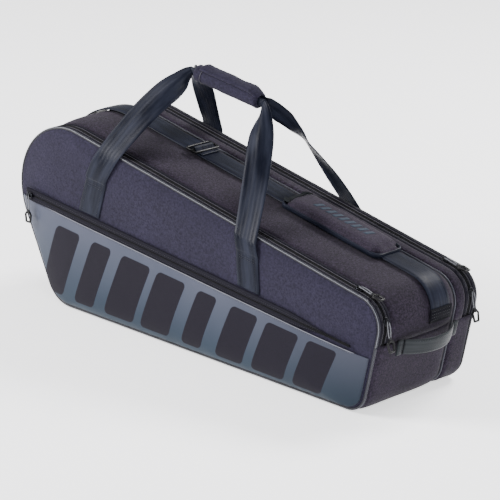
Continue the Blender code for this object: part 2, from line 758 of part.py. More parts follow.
def add_end_handle(pivot):
    """The webbing loop on the handle end, and the two tabs that its ends are sewn under."""
    front, rear = END_HANDLE_Y
    middle, half = (front + rear) / 2, (rear - front) / 2
    lean = end_wall_x(1.0) - end_wall_x(0.0)
    up_wall = Vector((lean, 0, 1)).normalized()
    base = end_wall_x(END_HANDLE_Z) + 0.0055
    steps = 8
    stations = []
    for i in range(steps + 1):
        share = -1 + 2 * i / steps
        x = base + END_HANDLE_REACH * (1 - share**2)
        stations.append(((x, middle + half * share, END_HANDLE_Z), up_wall, END_HANDLE_HEIGHT))
    ribbon("end_handle", stations, 2, END_HANDLE_WALL, "webbing", pivot)
    for word, y, sign in (("front", front, -1), ("rear", rear, 1)):
        centre = (base - 0.0008, y + sign * (0.0024 + END_TAB_SIZE[1] / 2), END_HANDLE_Z)
        place = Matrix.Translation(centre) @ axes((1, 0, -lean), up_wall)
        block(f"end_handle_tab_{word}", END_TAB_SIZE, place, "webbing")


# ---------------------------------------------------------------- zip sliders and pulls

PULL_RISE = SLIDER_RISE + SLIDER_SIZE[2] + PULL_WIRE + GAP


def add_slider(name, frame, plate_size, pivot):
    """A slider over the coil at the frame's origin, with a wire bridge over the place of its pull."""
    length, width, height = plate_size
    plate_place = frame @ Matrix.Translation((0, 0, SLIDER_RISE + height / 2))
    plate = block(f"{name}_slider", (length, width, height), plate_place, "metal", pivot)
    bpy.ops.mesh.primitive_torus_add(
        major_radius=BRIDGE_RADIUS, minor_radius=BRIDGE_WIRE, major_segments=12, minor_segments=6
    )
    ring = bpy.context.object.data
    bpy.data.objects.remove(bpy.context.object)
    upright = Matrix.Translation((0, 0, SLIDER_RISE + height + 0.0006)) @ Matrix.Rotation(math.pi / 2, 4, "X")
    ring.transform(frame @ upright)
    bridge = add_object(f"{name}_bridge", ring, "metal")
    use_as_cutter(bridge, plate, "UNION")


def add_pull(name, frame, pivot):
    """The pull of a slider: a hairpin wire through the bridge, and a moulded tab on the wire's ends."""
    place = frame @ Matrix.Translation((0, 0, PULL_RISE))
    near, far = 0.6 * PULL_HALF_WIDTH, PULL_HALF_WIDTH
    side = [(PULL_LENGTH, far, 0), (near, far, 0), (0, near, 0)]
    hairpin = side + [(x, -y, z) for x, y, z in reversed(side)]
    tube(f"{name}_pull_wire", [place @ Vector(point) for point in hairpin], PULL_WIRE, "metal", pivot)

    start = PULL_LENGTH + GAP
    outline = [
        (start, 0.75), (start + TAB_LENGTH * 0.3, 1.0), (start + TAB_LENGTH, 0.8),
        (start + TAB_LENGTH, -0.8), (start + TAB_LENGTH * 0.3, -1.0), (start, -0.75),
    ]
    hole = [(start + TAB_LENGTH * x, y) for x, y in ((0.4, 0.5), (0.85, 0.4), (0.85, -0.4), (0.4, -0.5))]
    data = bpy.data.curves.new(f"{name}_pull_tab", "CURVE")
    data.dimensions = "2D"
    data.fill_mode = "BOTH"
    data.extrude = TAB_THICKNESS / 2
    for points in (outline, hole):
        spline = data.splines.new("POLY")
        spline.points.add(len(points) - 1)
        spline.use_cyclic_u = True
        for spline_point, (x, across) in zip(spline.points, points):
            spline_point.co = (x, across * TAB_HALF_WIDTH, 0, 1)
    tab = add_object(f"{name}_pull_tab", data, "plastic", pivot)
    tab.matrix_parent_inverse = tab.matrix_parent_inverse @ place


def upper_slider_frame(y):
    """A slider on the straight top: its pull trails towards the handle end."""
    return top_matrix(UPPER_SLIDER_X, y, 0.0)


def lower_slider_frame(y):
    """A slider on the handle end's upper corner: its pull hangs down round the corner."""
    centre, radius, _, _ = side_corner(0)
    out = Vector((math.cos(LOWER_SLIDER_TURN), 0, math.sin(LOWER_SLIDER_TURN)))
    place = Vector((centre[0], y, centre[1])) + out * radius
    return Matrix.Translation(place) @ axes((out.z, 0, -out.x), out)


def pocket_slider_frame():
    """The pocket's slider, whose pull hangs down in front of the pocket."""
    place = (POCKET_SLIDER_X, POCKET_ZIP_Y - TAPE_WALL, pocket_z(POCKET_SLIDER_X))
    return Matrix.Translation(place) @ axes((0, 0, -1), (0, -1, 0))


def add_zip_fittings(name, frame, slide_place, body, crosswise=False):
    """A slider and its pull, each on its own pivot; a crosswise pull hangs square to its zip."""
    length, width, height = SLIDER_SIZE
    plate_size = (width, length, height) if crosswise else SLIDER_SIZE
    slider_pivot = add_pivot(f"{name}_slider_pivot", slide_place, body)
    add_slider(name, frame, plate_size, slider_pivot)
    pull_place = frame @ Vector((0, 0, PULL_RISE))
    add_pull(name, frame, add_pivot(f"{name}_pull_pivot", pull_place, slider_pivot))


# ---------------------------------------------------------------- the whole bag

clear_scene()
bag = collection("racket_tournament_bag")
cutters = collection("cutters")

add_gussets()
add_middle_seam()
add_base_board()

corner_centre = side_corner(0)[0]
for sign, word, piping_y, seam, outer_face in (
    (-1, "front", FRONT_PIPING_Y, FRONT_SEAM, front_face),
    (1, "rear", REAR_PIPING_Y, REAR_SEAM, rear_face),
):
    flap_pivot = add_pivot(f"{word}_flap_pivot", (0, piping_y + sign * FLAP_AXIS_OUT, fold_z(0)))
    add_zip_tapes(word, seam, -sign, flap_pivot)
    add_piping(word, piping_y, flap_pivot)
    add_side(word, outer_face, flap_pivot)
    add_strap_feet(sign, word, flap_pivot)
    left_x, left_z = STRAP_BEND["left"]
    hinge = (left_x, strap_y(sign, left_x, left_z) + sign * STRAP_CLEAR, left_z)
    add_handle(sign, word, add_pivot(f"{word}_handle_pivot", hinge, flap_pivot))
    zip_y = seam - sign * ZIP_BAND / 2
    upper = upper_slider_frame(zip_y)
    add_zip_fittings(f"{word}_upper", upper, upper.translation, flap_pivot)
    lower_centre = (corner_centre[0], zip_y, corner_centre[1])
    add_zip_fittings(f"{word}_lower", lower_slider_frame(zip_y), lower_centre, flap_pivot)

pocket_hinge = (0, pocket_face(0.0, 0.012), 0.0105)
pocket_pivot = add_pivot("pocket_pivot", pocket_hinge)
add_pocket(pocket_pivot)
pocket_frame = pocket_slider_frame()
add_zip_fittings("pocket", pocket_frame, pocket_frame.translation, pocket_pivot, crosswise=True)

pad_pivot = add_pivot("shoulder_pad_pivot", top_point(sum(PAD_X) / 2, STRAP_Y, STRAP_LIFT))
adjuster_pivot = add_pivot("strap_adjuster_pivot", top_point(ADJUSTER_X, STRAP_Y, STRAP_LIFT))
add_shoulder_strap(pad_pivot, adjuster_pivot)
end_hinge = (end_wall_x(END_HANDLE_Z) + 0.0055, sum(END_HANDLE_Y) / 2, END_HANDLE_Z)
add_end_handle(add_pivot("end_handle_pivot", end_hinge))
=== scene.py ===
"""The looks of the racket tournament bag: cloth, webbing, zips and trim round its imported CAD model.

Lengths are in metres, in the model's own frame: +X to the handle end, -Y out of the front, +Z up.
"""
import json
import math

import bmesh
import bpy
import numpy as np
from mathutils import Matrix, Vector, noise


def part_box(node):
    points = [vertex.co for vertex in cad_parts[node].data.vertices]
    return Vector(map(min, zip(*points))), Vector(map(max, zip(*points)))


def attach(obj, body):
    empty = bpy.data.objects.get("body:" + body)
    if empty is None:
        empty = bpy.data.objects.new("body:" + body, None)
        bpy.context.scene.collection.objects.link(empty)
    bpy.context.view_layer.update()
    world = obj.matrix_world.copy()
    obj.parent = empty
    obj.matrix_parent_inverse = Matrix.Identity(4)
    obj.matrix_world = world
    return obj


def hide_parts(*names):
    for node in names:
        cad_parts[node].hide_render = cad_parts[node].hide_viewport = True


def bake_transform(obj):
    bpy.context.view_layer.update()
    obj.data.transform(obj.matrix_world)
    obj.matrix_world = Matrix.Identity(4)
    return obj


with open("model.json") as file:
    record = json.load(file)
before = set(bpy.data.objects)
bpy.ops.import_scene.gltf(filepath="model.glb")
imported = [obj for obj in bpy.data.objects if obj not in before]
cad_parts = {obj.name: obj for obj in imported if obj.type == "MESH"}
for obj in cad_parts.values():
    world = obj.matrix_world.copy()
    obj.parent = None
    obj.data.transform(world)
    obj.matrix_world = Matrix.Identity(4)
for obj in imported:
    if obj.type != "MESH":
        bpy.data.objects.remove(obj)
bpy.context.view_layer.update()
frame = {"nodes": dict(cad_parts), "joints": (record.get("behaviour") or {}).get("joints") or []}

# Sizes that the CAD model was built from, in its own frame.
SIDE_CORNERS = (  # (x, z) of each corner of the side, and its radius
    ((0.379, 0.166), 0.040), ((-0.453, 0.324), 0.104), ((-0.292, 0.004), 0.050), ((0.346, 0.004), 0.032),
)
SIDE_MIDDLE = (0.0, 0.115)
FOLD_HANDLE_Z = 0.108
TOP_EDGE_X = (0.33918, -0.24599)
FRONT_Y, MID_Y, REAR_Y = -0.110, 0.054, 0.100
PIPING_Y = {-1: FRONT_Y, 1: REAR_Y}
PIPING_RADIUS, MID_PIPING_RADIUS = 0.0022, 0.0016
FRONT_SEAM, REAR_SEAM = FRONT_Y + PIPING_RADIUS, REAR_Y - PIPING_RADIUS
MID_FRONT, MID_REAR = MID_Y - MID_PIPING_RADIUS, MID_Y + MID_PIPING_RADIUS
ZIP_BAND = 0.022
PANEL_PROUD, PANEL_BULGE = 0.001, 0.008  # a side's cloth beyond its piping, at the seam and in the middle
POCKET_DROP, POCKET_TAPE = 0.010, 0.009
POCKET_ZIP_Y = FRONT_Y - PANEL_PROUD - PANEL_BULGE - 0.0006
WEBBING = 0.044
GRIP_X, GRIP_Z, GRIP_SLOPE = (-0.097, 0.034), 0.382, math.radians(7.5)
GRIP_OUTER, GRIP_INNER = 0.0130, 0.0097
STRAP_Y, STRAP_LIFT = 0.012, 0.0098
PAD_X = (0.085, 0.285)
JOINTS = {joint["name"]: joint for joint in frame["joints"]}


# ---------------------------------------------------------------- the side outline

def make_outline():
    """Rows of (x, z, normal x, normal z, distance round the outline), counter-clockwise seen from the front."""
    rows = []
    count = len(SIDE_CORNERS)
    for i, (corner, radius) in enumerate(SIDE_CORNERS):
        corner = Vector(corner)
        back = (Vector(SIDE_CORNERS[i - 1][0]) - corner).normalized()
        on = (Vector(SIDE_CORNERS[(i + 1) % count][0]) - corner).normalized()
        half = back.angle(on) / 2
        centre = corner + (back + on).normalized() * (radius / math.sin(half))
        first, last = (corner + way * (radius / math.tan(half)) - centre for way in (back, on))
        start = math.atan2(first.y, first.x)
        turn = (math.atan2(last.y, last.x) - start) % (2 * math.pi)
        steps = max(8, round(radius * turn / 0.002))
        for k in range(steps + 1):
            t = start + turn * k / steps
            rows.append((centre.x + radius * math.cos(t), centre.y + radius * math.sin(t), math.cos(t), math.sin(t)))
    rows.append(rows[0])
    rows = np.array(rows)
    steps = np.hypot(*np.diff(rows[:, :2], axis=0).T)
    return np.column_stack([rows, np.concatenate([[0.0], np.cumsum(steps)])])


OUTLINE = make_outline()
ROUND = OUTLINE[-1, 4]


def outline_from(start, s, offset=0.0):
    """(x, z) at distance s past the start, counter-clockwise, moved out by offset."""
    x, z, nx, nz = (np.interp((np.asarray(s) + start) % ROUND, OUTLINE[:, 4], OUTLINE[:, c]) for c in range(4))
    length = np.hypot(nx, nz)
    return x + nx / length * offset, z + nz / length * offset


def outline(s, offset=0.0):
    """(x, z) at distance s past the handle end's fold."""
    return outline_from(S_FOLD, s, offset)


def distance_where(start, column, value, after, before):
    """The distance past the start at which x (column 0) or z (column 1) passes that value."""
    s = np.linspace(after, before, 4000)
    return float(s[np.argmin(np.abs(outline_from(start, s)[column] - value))])


S_FOLD = distance_where(0.0, 1, FOLD_HANDLE_Z, ROUND - 0.14, ROUND)
S_HEAD = distance_where(S_FOLD, 0, float(OUTLINE[:, 0].min()), 0.6, 1.4)
S_TOP = [distance_where(S_FOLD, 0, x, *between) for x, between in zip(TOP_EDGE_X, ((0.03, 0.3), (0.4, 0.9)))]
UPPER, LOWER = (0.0, S_HEAD), (S_HEAD, ROUND)
FOLD_HANDLE, FOLD_HEAD, TOP_HANDLE, TOP_HEAD = (
    Vector((x, 0, z)) for x, z in (map(float, outline(s)) for s in (0.0, S_HEAD, *S_TOP)))
ALONG_FOLD = (FOLD_HANDLE - FOLD_HEAD).normalized()
ALONG_TOP = (TOP_HANDLE - TOP_HEAD).normalized()
OFF_FOLD, OFF_TOP = (Vector((-along.z, 0, along.x)) for along in (ALONG_FOLD, ALONG_TOP))


def outward(s):
    """The direction off the outline at distance s."""
    (x, z), (far_x, far_z) = outline(s), outline(s, 1.0)
    return Vector((float(far_x - x), 0, float(far_z - z)))


def fold_z(x):
    return FOLD_HEAD.z + (x - FOLD_HEAD.x) * ALONG_FOLD.z / ALONG_FOLD.x


def pocket_z(x):
    return fold_z(x) - POCKET_DROP


def top_point(x, y, rise=0.0):
    """A point at x on the straight top edge, raised square to the edge."""
    return Vector((x, y, TOP_HANDLE.z + (x - TOP_HANDLE.x) * ALONG_TOP.z / ALONG_TOP.x)) + OFF_TOP * rise


def on_top(x, rise):
    """A matrix over the shoulder strap's line, with X along the straight top edge and Z off it."""
    turn = Matrix(((ALONG_TOP.x, 0, OFF_TOP.x, 0), (0, 1, 0, 0), (ALONG_TOP.z, 0, OFF_TOP.z, 0), (0, 0, 0, 1)))
    return Matrix.Translation(top_point(x, STRAP_Y, rise)) @ turn


def gauge(x, z):
    """0 in the middle of the side, 1 on its outline, and even shapes like it in between."""
    ends = OUTLINE[::6, :2]
    along = np.roll(ends, -1, axis=0) - ends
    normal = np.column_stack([along[:, 1], -along[:, 0]])
    reach = ((ends - SIDE_MIDDLE) * normal).sum(1)
    here = normal @ (np.array([x, z]) - SIDE_MIDDLE)
    return max(0.0, float((here / np.where(reach > 1e-9, reach, 1e9)).max()))


def face_y(side, x, z):
    """The outer face of a side's panel."""
    return PIPING_Y[side] + side * (PANEL_PROUD + PANEL_BULGE * max(0.0, 1 - gauge(x, z) ** 8))


def ripple(x, y, z, scale, seed=0.0):
    """Smooth noise of about -1 to 1 at a place; scale is its wavelength."""
    return noise.noise(Vector((x / scale + seed, y / scale + 2.3 * seed, z / scale)))


def distances(points):
    """The distance along a line at each of its points."""
    return np.concatenate([[0.0], np.cumsum(np.linalg.norm(np.diff(points, axis=0), axis=1))])


def smooth(points, steps):
    """A curve through the points, with that many steps between each two, as numpy rows."""
    p = np.array([list(point) for point in points], float)
    p = np.vstack([2 * p[0] - p[1], p, 2 * p[-1] - p[-2]])
    rows = []
    for i in range(1, len(p) - 2):
        a, b, c, d = p[i - 1], p[i], p[i + 1], p[i + 2]
        for k in range(steps):
            t = k / steps
            bend = (2 * a - 5 * b + 4 * c - d) * t**2 + (3 * b - a - 3 * c + d) * t**3
            rows.append(0.5 * (2 * b + (c - a) * t + bend))
    return np.array(rows + [p[-2]])


# ---------------------------------------------------------------- meshes

def new_object(name, data):
    obj = bpy.data.objects.new(name, data)
    bpy.context.scene.collection.objects.link(obj)
    return obj


def from_bmesh(name, bm):
    data = bpy.data.meshes.new(name)
    bm.to_mesh(data)
    bm.free()
    return new_object(name, data)


def skin(name, rows, ring=False, loop=False, caps=True):
    """A mesh over rows of points. A ring's rows close on themselves, and a loop's last row meets its first.
    Its UV holds metres: along the rows' run, and across each row."""
    rows = np.array([[tuple(point) for point in row] for row in rows], float)
    count, across = rows.shape[:2]
    run = distances(rows.mean(1))
    middle = rows[count // 2]
    span = distances(np.vstack([middle, middle[:1]]))
    bm = bmesh.new()
    verts = [bm.verts.new(point) for point in rows.reshape(-1, 3)]
    layer = bm.loops.layers.uv.new("metres")
    run = np.append(run, run[-1] + (run[1] if loop else 0))
    for i in range(count if loop else count - 1):
        for j in range(across if ring else across - 1):
            quad = ((i, j), (i, j + 1), (i + 1, j + 1), (i + 1, j))
            face = bm.faces.new([verts[(a % count) * across + b % across] for a, b in quad])
            face.smooth = True
            for corner, (a, b) in zip(face.loops, quad):
                corner[layer].uv = (run[a], span[b])
    if ring and caps and not loop:
        bm.faces.new(verts[:across])
        bm.faces.new(verts[-across:])
    bmesh.ops.recalc_face_normals(bm, faces=bm.faces)
    return from_bmesh(name, bm)


def frames_along(points, side, loop=False):
    """(point, side, up) along a line; without a side direction, the frames turn as little as they can."""
    points = np.asarray(points, float)
    ahead = np.roll(points, -1, axis=0) if loop else np.vstack([points[1:], 2 * points[-1] - points[-2]])
    behind = np.roll(points, 1, axis=0) if loop else np.vstack([2 * points[0] - points[1], points[:-1]])
    frames = []
    last = None
    for i, (point, way) in enumerate(zip(points, ahead - behind)):
        along = Vector(way).normalized()
        if side is None:
            across = last or along.orthogonal()
            across = across - along * across.dot(along)
        else:
            across = Vector(side[i])
        last = across.normalized()
        frames.append((Vector(point), last, along.cross(last).normalized()))
    return frames


def rod(name, points, radius, sides=8, loop=False, flat=1.0, side=None):
    """A round or flattened rod along a line; radius is one number or one for each point."""
    frames = frames_along(points, side, loop)
    radii = [radius] * len(frames) if isinstance(radius, float) else list(radius)
    turns = [2 * math.pi * k / sides for k in range(sides)]
    rows = [
        [point + across * (r * math.cos(t)) + up * (r * flat * math.sin(t)) for t in turns]
        for (point, across, up), r in zip(frames, radii)
    ]
    return skin(name, rows, ring=True, loop=loop)


def ribbon(name, stations, steps, wall):
    """Webbing through stations of (centre, width direction, width, fold depth, camber), with rounded edges."""
    centres = smooth([s[0] for s in stations], steps)
    sides = smooth([Vector(s[1]).normalized() for s in stations], steps)
    forms = smooth([s[2:] for s in stations], steps)
    rows = []
    for (point, across, up), (width, fold, camber) in zip(frames_along(centres, sides), forms):
        top, bottom = [], []
        for share in (-1, -0.96, -0.8, -0.55, -0.28, 0, 0.28, 0.55, 0.8, 0.96, 1):
            rise = fold * (abs(share) - 0.5) + camber * (1 - share * share)
            thick = wall / 2 * (0.35 if abs(share) == 1 else 0.8 if abs(share) > 0.9 else 1.0)
            middle = point + across * (share * width / 2) + up * rise
            top.append(middle + up * thick)
            bottom.append(middle - up * thick)
        rows.append(bottom + top[::-1])
    return skin(name, rows, ring=True)


def joined(name, parts):
    """One object of several meshes, modifiers applied."""
    bm = bmesh.new()
    graph = bpy.context.evaluated_depsgraph_get()
    for part in parts:
        bpy.context.view_layer.update()
        data = part.evaluated_get(graph).to_mesh()
        data.transform(part.matrix_world)
        bm.from_mesh(data)
        part.evaluated_get(graph).to_mesh_clear()
    for part in parts:
        bpy.data.objects.remove(part)
    return from_bmesh(name, bm)


STITCH, STITCH_GAP, STITCH_RADIUS = 0.0026, 0.0014, 0.00032


def stitches(name, runs, body, material=None, radius=STITCH_RADIUS):
    """Sewn stitches along each run of (points, outward direction), as one mesh of short rounded dashes."""
    bm = bmesh.new()
    for points, out in runs:
        points = np.array([list(point) for point in points], float)
        ends = distances(points)
        for start in np.arange(0, ends[-1] - STITCH, STITCH + STITCH_GAP):
            a, b = (Vector([np.interp(t, ends, points[:, c]) for c in range(3)]) for t in (start, start + STITCH))
            along = (b - a).normalized()
            across = along.cross(Vector(out)).normalized()
            up = across.cross(along)
            rings = []
            for t, r in ((0.0, 0.35), (0.2, 1.0), (0.8, 1.0), (1.0, 0.35)):
                middle = a.lerp(b, t) + up * (radius * 0.3)
                rings.append([bm.verts.new(middle + (across * math.cos(w) + up * math.sin(w)) * (radius * r))
                              for w in (0, math.pi / 2, math.pi, 3 * math.pi / 2)])
            for first, second in zip(rings, rings[1:]):
                for k in range(4):
                    bm.faces.new((first[k], first[(k + 1) % 4], second[(k + 1) % 4], second[k])).smooth = True
            bm.faces.new(rings[0][::-1])
            bm.faces.new(rings[-1])
    return dress(from_bmesh(name, bm), material or THREAD, "webbing", body)


def thicken(obj, wall):
    """Gives an open sheet its wall, inwards from the drawn face, with the lining's material inside."""
    solid = obj.modifiers.new("wall", "SOLIDIFY")
    solid.thickness = wall
    solid.offset = -1
    obj.data.materials.append(LINING)
    solid.material_offset = 1
    return obj


def apply_modifiers(obj):
    """Leaves the object with the mesh that its modifiers make."""
    graph = bpy.context.evaluated_depsgraph_get()
    bpy.context.view_layer.update()
    data = bpy.data.meshes.new_from_object(obj.evaluated_get(graph))
    obj.modifiers.clear()
    obj.data = data


def smoothed(obj):
    for polygon in obj.data.polygons:
        polygon.use_smooth = True
    return obj


def rounded(half_x, half_y, corner, radius, steps):
    """(x, y) points round a rectangle's corners, drawn with the radius about the centres of its own corners."""
    points = []
    for sx, sy, start in ((1, 1, 0), (-1, 1, 90), (-1, -1, 180), (1, -1, 270)):
        for k in range(steps + 1):
            t = math.radians(start + 90 / steps * k)
            x, y = sx * (half_x - corner), sy * (half_y - corner)
            points.append((x + radius * math.cos(t), y + radius * math.sin(t)))
    return points


def dress(obj, material, slot, body, *nodes):
    """Gives a piece its material, fixes it to its body and lets it stand for CAD nodes; the slot is not used."""
    obj.data.materials.clear()
    obj.data.materials.append(material)
    if body:
        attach(obj, body)
    if nodes:
        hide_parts(*nodes)
    return obj


# ---------------------------------------------------------------- materials

LIGHT_SHARE = 0.25  # a surface's own colour as a share of what it looks like under the studio's light
WAVES = 3.1831  # bands that the wave texture draws per unit at a scale of one


def linear(rgb):
    """Linear colour of a surface that is to look like that sRGB colour, given as 0 to 255."""
    plain = (c / 255 / 12.92 if c <= 10 else ((c / 255 + 0.055) / 1.055) ** 2.4 for c in rgb)
    return tuple(c * LIGHT_SHARE for c in plain) + (1.0,)


class Look:
    """A material being built: a Principled shader and the nodes that feed it."""

    def __init__(self, name, rgb, rough, specular, metal=0.0, sheen=0.0):
        self.material = bpy.data.materials.new(name)
        self.material.use_nodes = True
        self.tree = self.material.node_tree
        self.shader = self.tree.nodes["Principled BSDF"]
        settings = {"Base Color": linear(rgb), "Roughness": rough, "Metallic": metal, "Specular IOR Level": specular,
                    "Sheen Weight": sheen, "Sheen Roughness": 0.45}
        for key, value in settings.items():
            self.shader.inputs[key].default_value = value
        self.place = self.add("ShaderNodeTexCoord")

    def add(self, kind, inputs=None, **settings):
        node = self.tree.nodes.new(kind)
        for key, value in settings.items():
            setattr(node, key, value)
        for key, value in (inputs or {}).items():
            self.feed(node.inputs[key], value)
        return node

    def feed(self, socket, value):
        if isinstance(value, bpy.types.NodeSocket):
            self.tree.links.new(value, socket)
        else:
            socket.default_value = value

    def math(self, operation, a, b=0.0, c=0.0):
        return self.add("ShaderNodeMath", {0: a, 1: b, 2: c}, operation=operation).outputs[0]

    def noise(self, wavelength, detail=2.0):
        inputs = {"Vector": self.place.outputs["Object"], "Scale": 1 / wavelength, "Detail": detail}
        return self.add("ShaderNodeTexNoise", inputs).outputs["Fac"]

    def wave(self, place, wavelength, axis, distortion=0.0):
        inputs = {"Vector": place, "Scale": 1 / wavelength / WAVES, "Distortion": distortion}
        return self.add("ShaderNodeTexWave", inputs, bands_direction=axis).outputs["Fac"]

    def bands(self, wavelength, axis, uv, distortion=0.0):
        return self.wave(self.place.outputs["UV" if uv else "Object"], wavelength, axis, distortion)

    def mapped(self, **settings):
        inputs = {"Vector": self.place.outputs["UV"], **settings}
        return self.add("ShaderNodeMapping", inputs).outputs[0]

    def slanted(self, wavelength, turn):
        """Bands that slant by an angle across the run of the UV."""
        return self.wave(self.mapped(Rotation=(0, 0, turn)), wavelength, "X")

    def mix(self, share, a, b):
        node = self.add("ShaderNodeMix", data_type="RGBA")
        for name, value in (("Factor", share), ("A", a), ("B", b)):
            for socket in [s for s in node.inputs if s.name == name and s.enabled]:
                self.feed(socket, value)
        return [s for s in node.outputs if s.enabled][0]

    def tint(self, share, rgb, second):
        return self.mix(share, linear(rgb), linear(second))

    def scaled(self, colour, by):
        return self.add("ShaderNodeVectorMath", {0: colour, "Scale": by}, operation="SCALE").outputs[0]

    def ranged(self, value, low, high, into=(0.0, 1.0)):
        inputs = {"Value": value, "From Min": low, "From Max": high, "To Min": into[0], "To Max": into[1]}
        return self.add("ShaderNodeMapRange", inputs).outputs[0]

    def colour(self, socket):
        self.feed(self.shader.inputs["Base Color"], socket)

    def rough(self, socket):
        self.feed(self.shader.inputs["Roughness"], socket)

    def bump(self, *heights):
        """Bumps of (height socket, depth in metres, strength), one over the other."""
        last = None
        for height, depth, strength in heights:
            inputs = {"Height": height, "Distance": depth, "Strength": strength}
            if last:
                inputs["Normal"] = last
            last = self.add("ShaderNodeBump", inputs).outputs[0]
        self.feed(self.shader.inputs["Normal"], last)


def woven(name, rgb, second, rough=0.8, fleck=0.5, run=("X", "Z"), uv=False, uneven=(0.68, 1.34)):
    """Plain-woven polyester: crossing threads, and flecks of a second colour."""
    look = Look(name, rgb, rough, 0.1, sheen=0.04)
    weave = look.math("MULTIPLY", *(look.bands(0.0011, axis, uv=uv) for axis in run))
    grain = look.noise(0.0016, 2.0)
    flecks = look.math("MULTIPLY", look.ranged(grain, 0.35, 0.7), fleck)
    mottle = look.ranged(look.noise(0.0030, 3.0), 0.32, 0.68, uneven)
    shade = look.math("MULTIPLY", look.ranged(look.noise(0.07, 3.0), 0.3, 0.7, (0.88, 1.1)), mottle)
    look.colour(look.scaled(look.tint(flecks, rgb, second), shade))
    look.rough(look.ranged(grain, 0.2, 0.8, (rough - 0.08, rough + 0.08)))
    look.bump((look.noise(0.035, 2.0), 0.0012, 0.35), (weave, 0.00025, 0.6), (grain, 0.0003, 0.45))
    return look.material


def webbed(name, rgb, second, rough=0.34, rib=0.0019, specular=0.1):
    """Silky webbing: ribs along its run, fine cross threads and a broken highlight."""
    look = Look(name, rgb, rough, specular)
    ribs = look.bands(rib, "Y", uv=True)
    cross = look.bands(0.0011, "X", uv=True, distortion=0.4)
    streak = {"Vector": look.mapped(Scale=(14, 260, 1)), "Scale": 1.0, "Detail": 3.0}
    highlight_streaks = look.add("ShaderNodeTexNoise", streak).outputs["Fac"]
    # Painted highlight: the lighter streaks in the webbing's colour stand for its silky sheen; they also vary its
    # roughness and bump.
    look.colour(look.tint(look.ranged(highlight_streaks, 0.35, 0.7), rgb, second))
    look.rough(look.ranged(highlight_streaks, 0.3, 0.7, (rough - 0.06, rough + 0.14)))
    thread = look.math("MULTIPLY", ribs, cross)
    look.bump((highlight_streaks, 0.0004, 0.4), (ribs, 0.00012, 0.35), (thread, 0.00016, 0.6))
    return look.material


def taped(name, rgb, second, rough=0.65):
    """Zip tape and welts: a fine slanting rib."""
    look = Look(name, rgb, rough, 0.06)
    rib = look.slanted(0.0013, 0.9)
    look.colour(look.tint(rib, rgb, second))
    look.bump((rib, 0.00025, 0.6), (look.noise(0.0012), 0.0002, 0.4))
    return look.material


def corded(name, rgb, second, rough=0.4, pitch=0.0016):
    """Piping, cords and thread: a slanting twist."""
    look = Look(name, rgb, rough, 0.25)
    twist = look.slanted(pitch, 0.6)
    look.colour(look.tint(look.math("MULTIPLY", twist, look.noise(0.01)), rgb, second))
    look.bump((twist, 0.0002, 0.5))
    return look.material


def moulded(name, rgb, rough, metal=0.0, specular=0.5):
    """Nylon, plastic and cast metal, a little worn."""
    look = Look(name, rgb, rough, specular, metal=metal)
    wear = look.noise(0.008, 3.0)
    look.rough(look.ranged(wear, 0.3, 0.7, (rough - 0.08, rough + 0.1)))
    look.colour(look.tint(look.ranged(wear, 0.45, 0.75), rgb, [min(255, c + 16) for c in rgb]))
    look.bump((look.noise(0.0006), 0.00008, 0.5))
    return look.material


POCKET_TOP = (-0.1012, 0.1351)  # slope and height of the pocket's top edge
PRINT_PITCH, PRINT_START, PRINT_SLANT = 0.0780, 0.3435, 0.42
PRINT_HALF_WIDTH = (0.26, 0.43)  # of the pitch, drawn for each bar
PRINT_HALF_HEIGHT, PRINT_CORNER, PRINT_EDGE = 0.034, 0.008, 0.0004


def coated():
    """The pocket's satin coated cloth, printed with a plain row of slanting bars; its plain colour carries a painted
    reflection, paler towards the top, and painted shade, darker towards the handle end.
    """
    look = Look("satin_coating_with_painted_shading", (104, 118, 140), 0.36, 0.11)
    do, ranged = look.math, look.ranged
    split = look.add("ShaderNodeSeparateXYZ", {"Vector": look.place.outputs["Object"]}).outputs
    x, z = split["X"], split["Z"]
    height = do("DIVIDE", z, do("MULTIPLY_ADD", x, *POCKET_TOP))
    lean = do("SUBTRACT", x, do("MULTIPLY", z, PRINT_SLANT))
    cell = do("MULTIPLY", do("ADD", lean, PRINT_START), 1 / PRINT_PITCH)
    drawn = look.add("ShaderNodeTexWhiteNoise", {"W": do("FLOOR", cell)}, noise_dimensions="1D").outputs["Value"]
    half = ranged(drawn, 0.0, 1.0, PRINT_HALF_WIDTH)
    across = do("MULTIPLY", do("SUBTRACT", do("FRACT", cell), 0.5), PRINT_PITCH)
    upward = do("MULTIPLY", do("SUBTRACT", height, 0.475), 0.118)
    beyond = (do("SUBTRACT", do("ABSOLUTE", across), do("MULTIPLY_ADD", half, PRINT_PITCH, -PRINT_CORNER)),
              do("SUBTRACT", do("ABSOLUTE", upward), PRINT_HALF_HEIGHT))
    outside = do("SQRT", do("ADD", *(do("POWER", do("MAXIMUM", past, 0.0), 2.0) for past in beyond)))
    inside = ranged(outside, PRINT_CORNER - PRINT_EDGE, PRINT_CORNER + PRINT_EDGE, (1.0, 0.0))
    kept = ranged(do("ABSOLUTE", do("SUBTRACT", cell, 3.99)), 4.0, 4.002, (1.0, 0.0))
    printed = do("MULTIPLY", inside, kept)
    cloud = ranged(look.noise(0.11, 2.0), 0.3, 0.7)
    # Painted reflection: the plain cloth runs from the dark low colour up to the pale high colour towards its top edge.
    low, high = look.tint(cloud, (45, 73, 96), (55, 84, 107)), look.tint(cloud, (122, 129, 153), (134, 139, 162))
    # Painted shade: the plain cloth darkens towards the handle end, to 0.62 of itself at x = 0.36.
    plain = look.scaled(look.mix(ranged(height, 0.05, 0.95), low, high), ranged(x, 0.08, 0.36, (1.0, 0.62)))
    ink = look.tint(ranged(look.noise(0.0016), 0.3, 0.7), (45, 38, 58), (36, 31, 47))
    look.colour(look.mix(printed, plain, ink))
    look.rough(ranged(printed, 0.0, 1.0, (0.34, 0.62)))
    look.bump((look.noise(0.05, 2.0), 0.0016, 0.4), (look.noise(0.0011, 1.0), 0.00022, 0.35), (printed, 0.00015, 0.5))
    return look.material


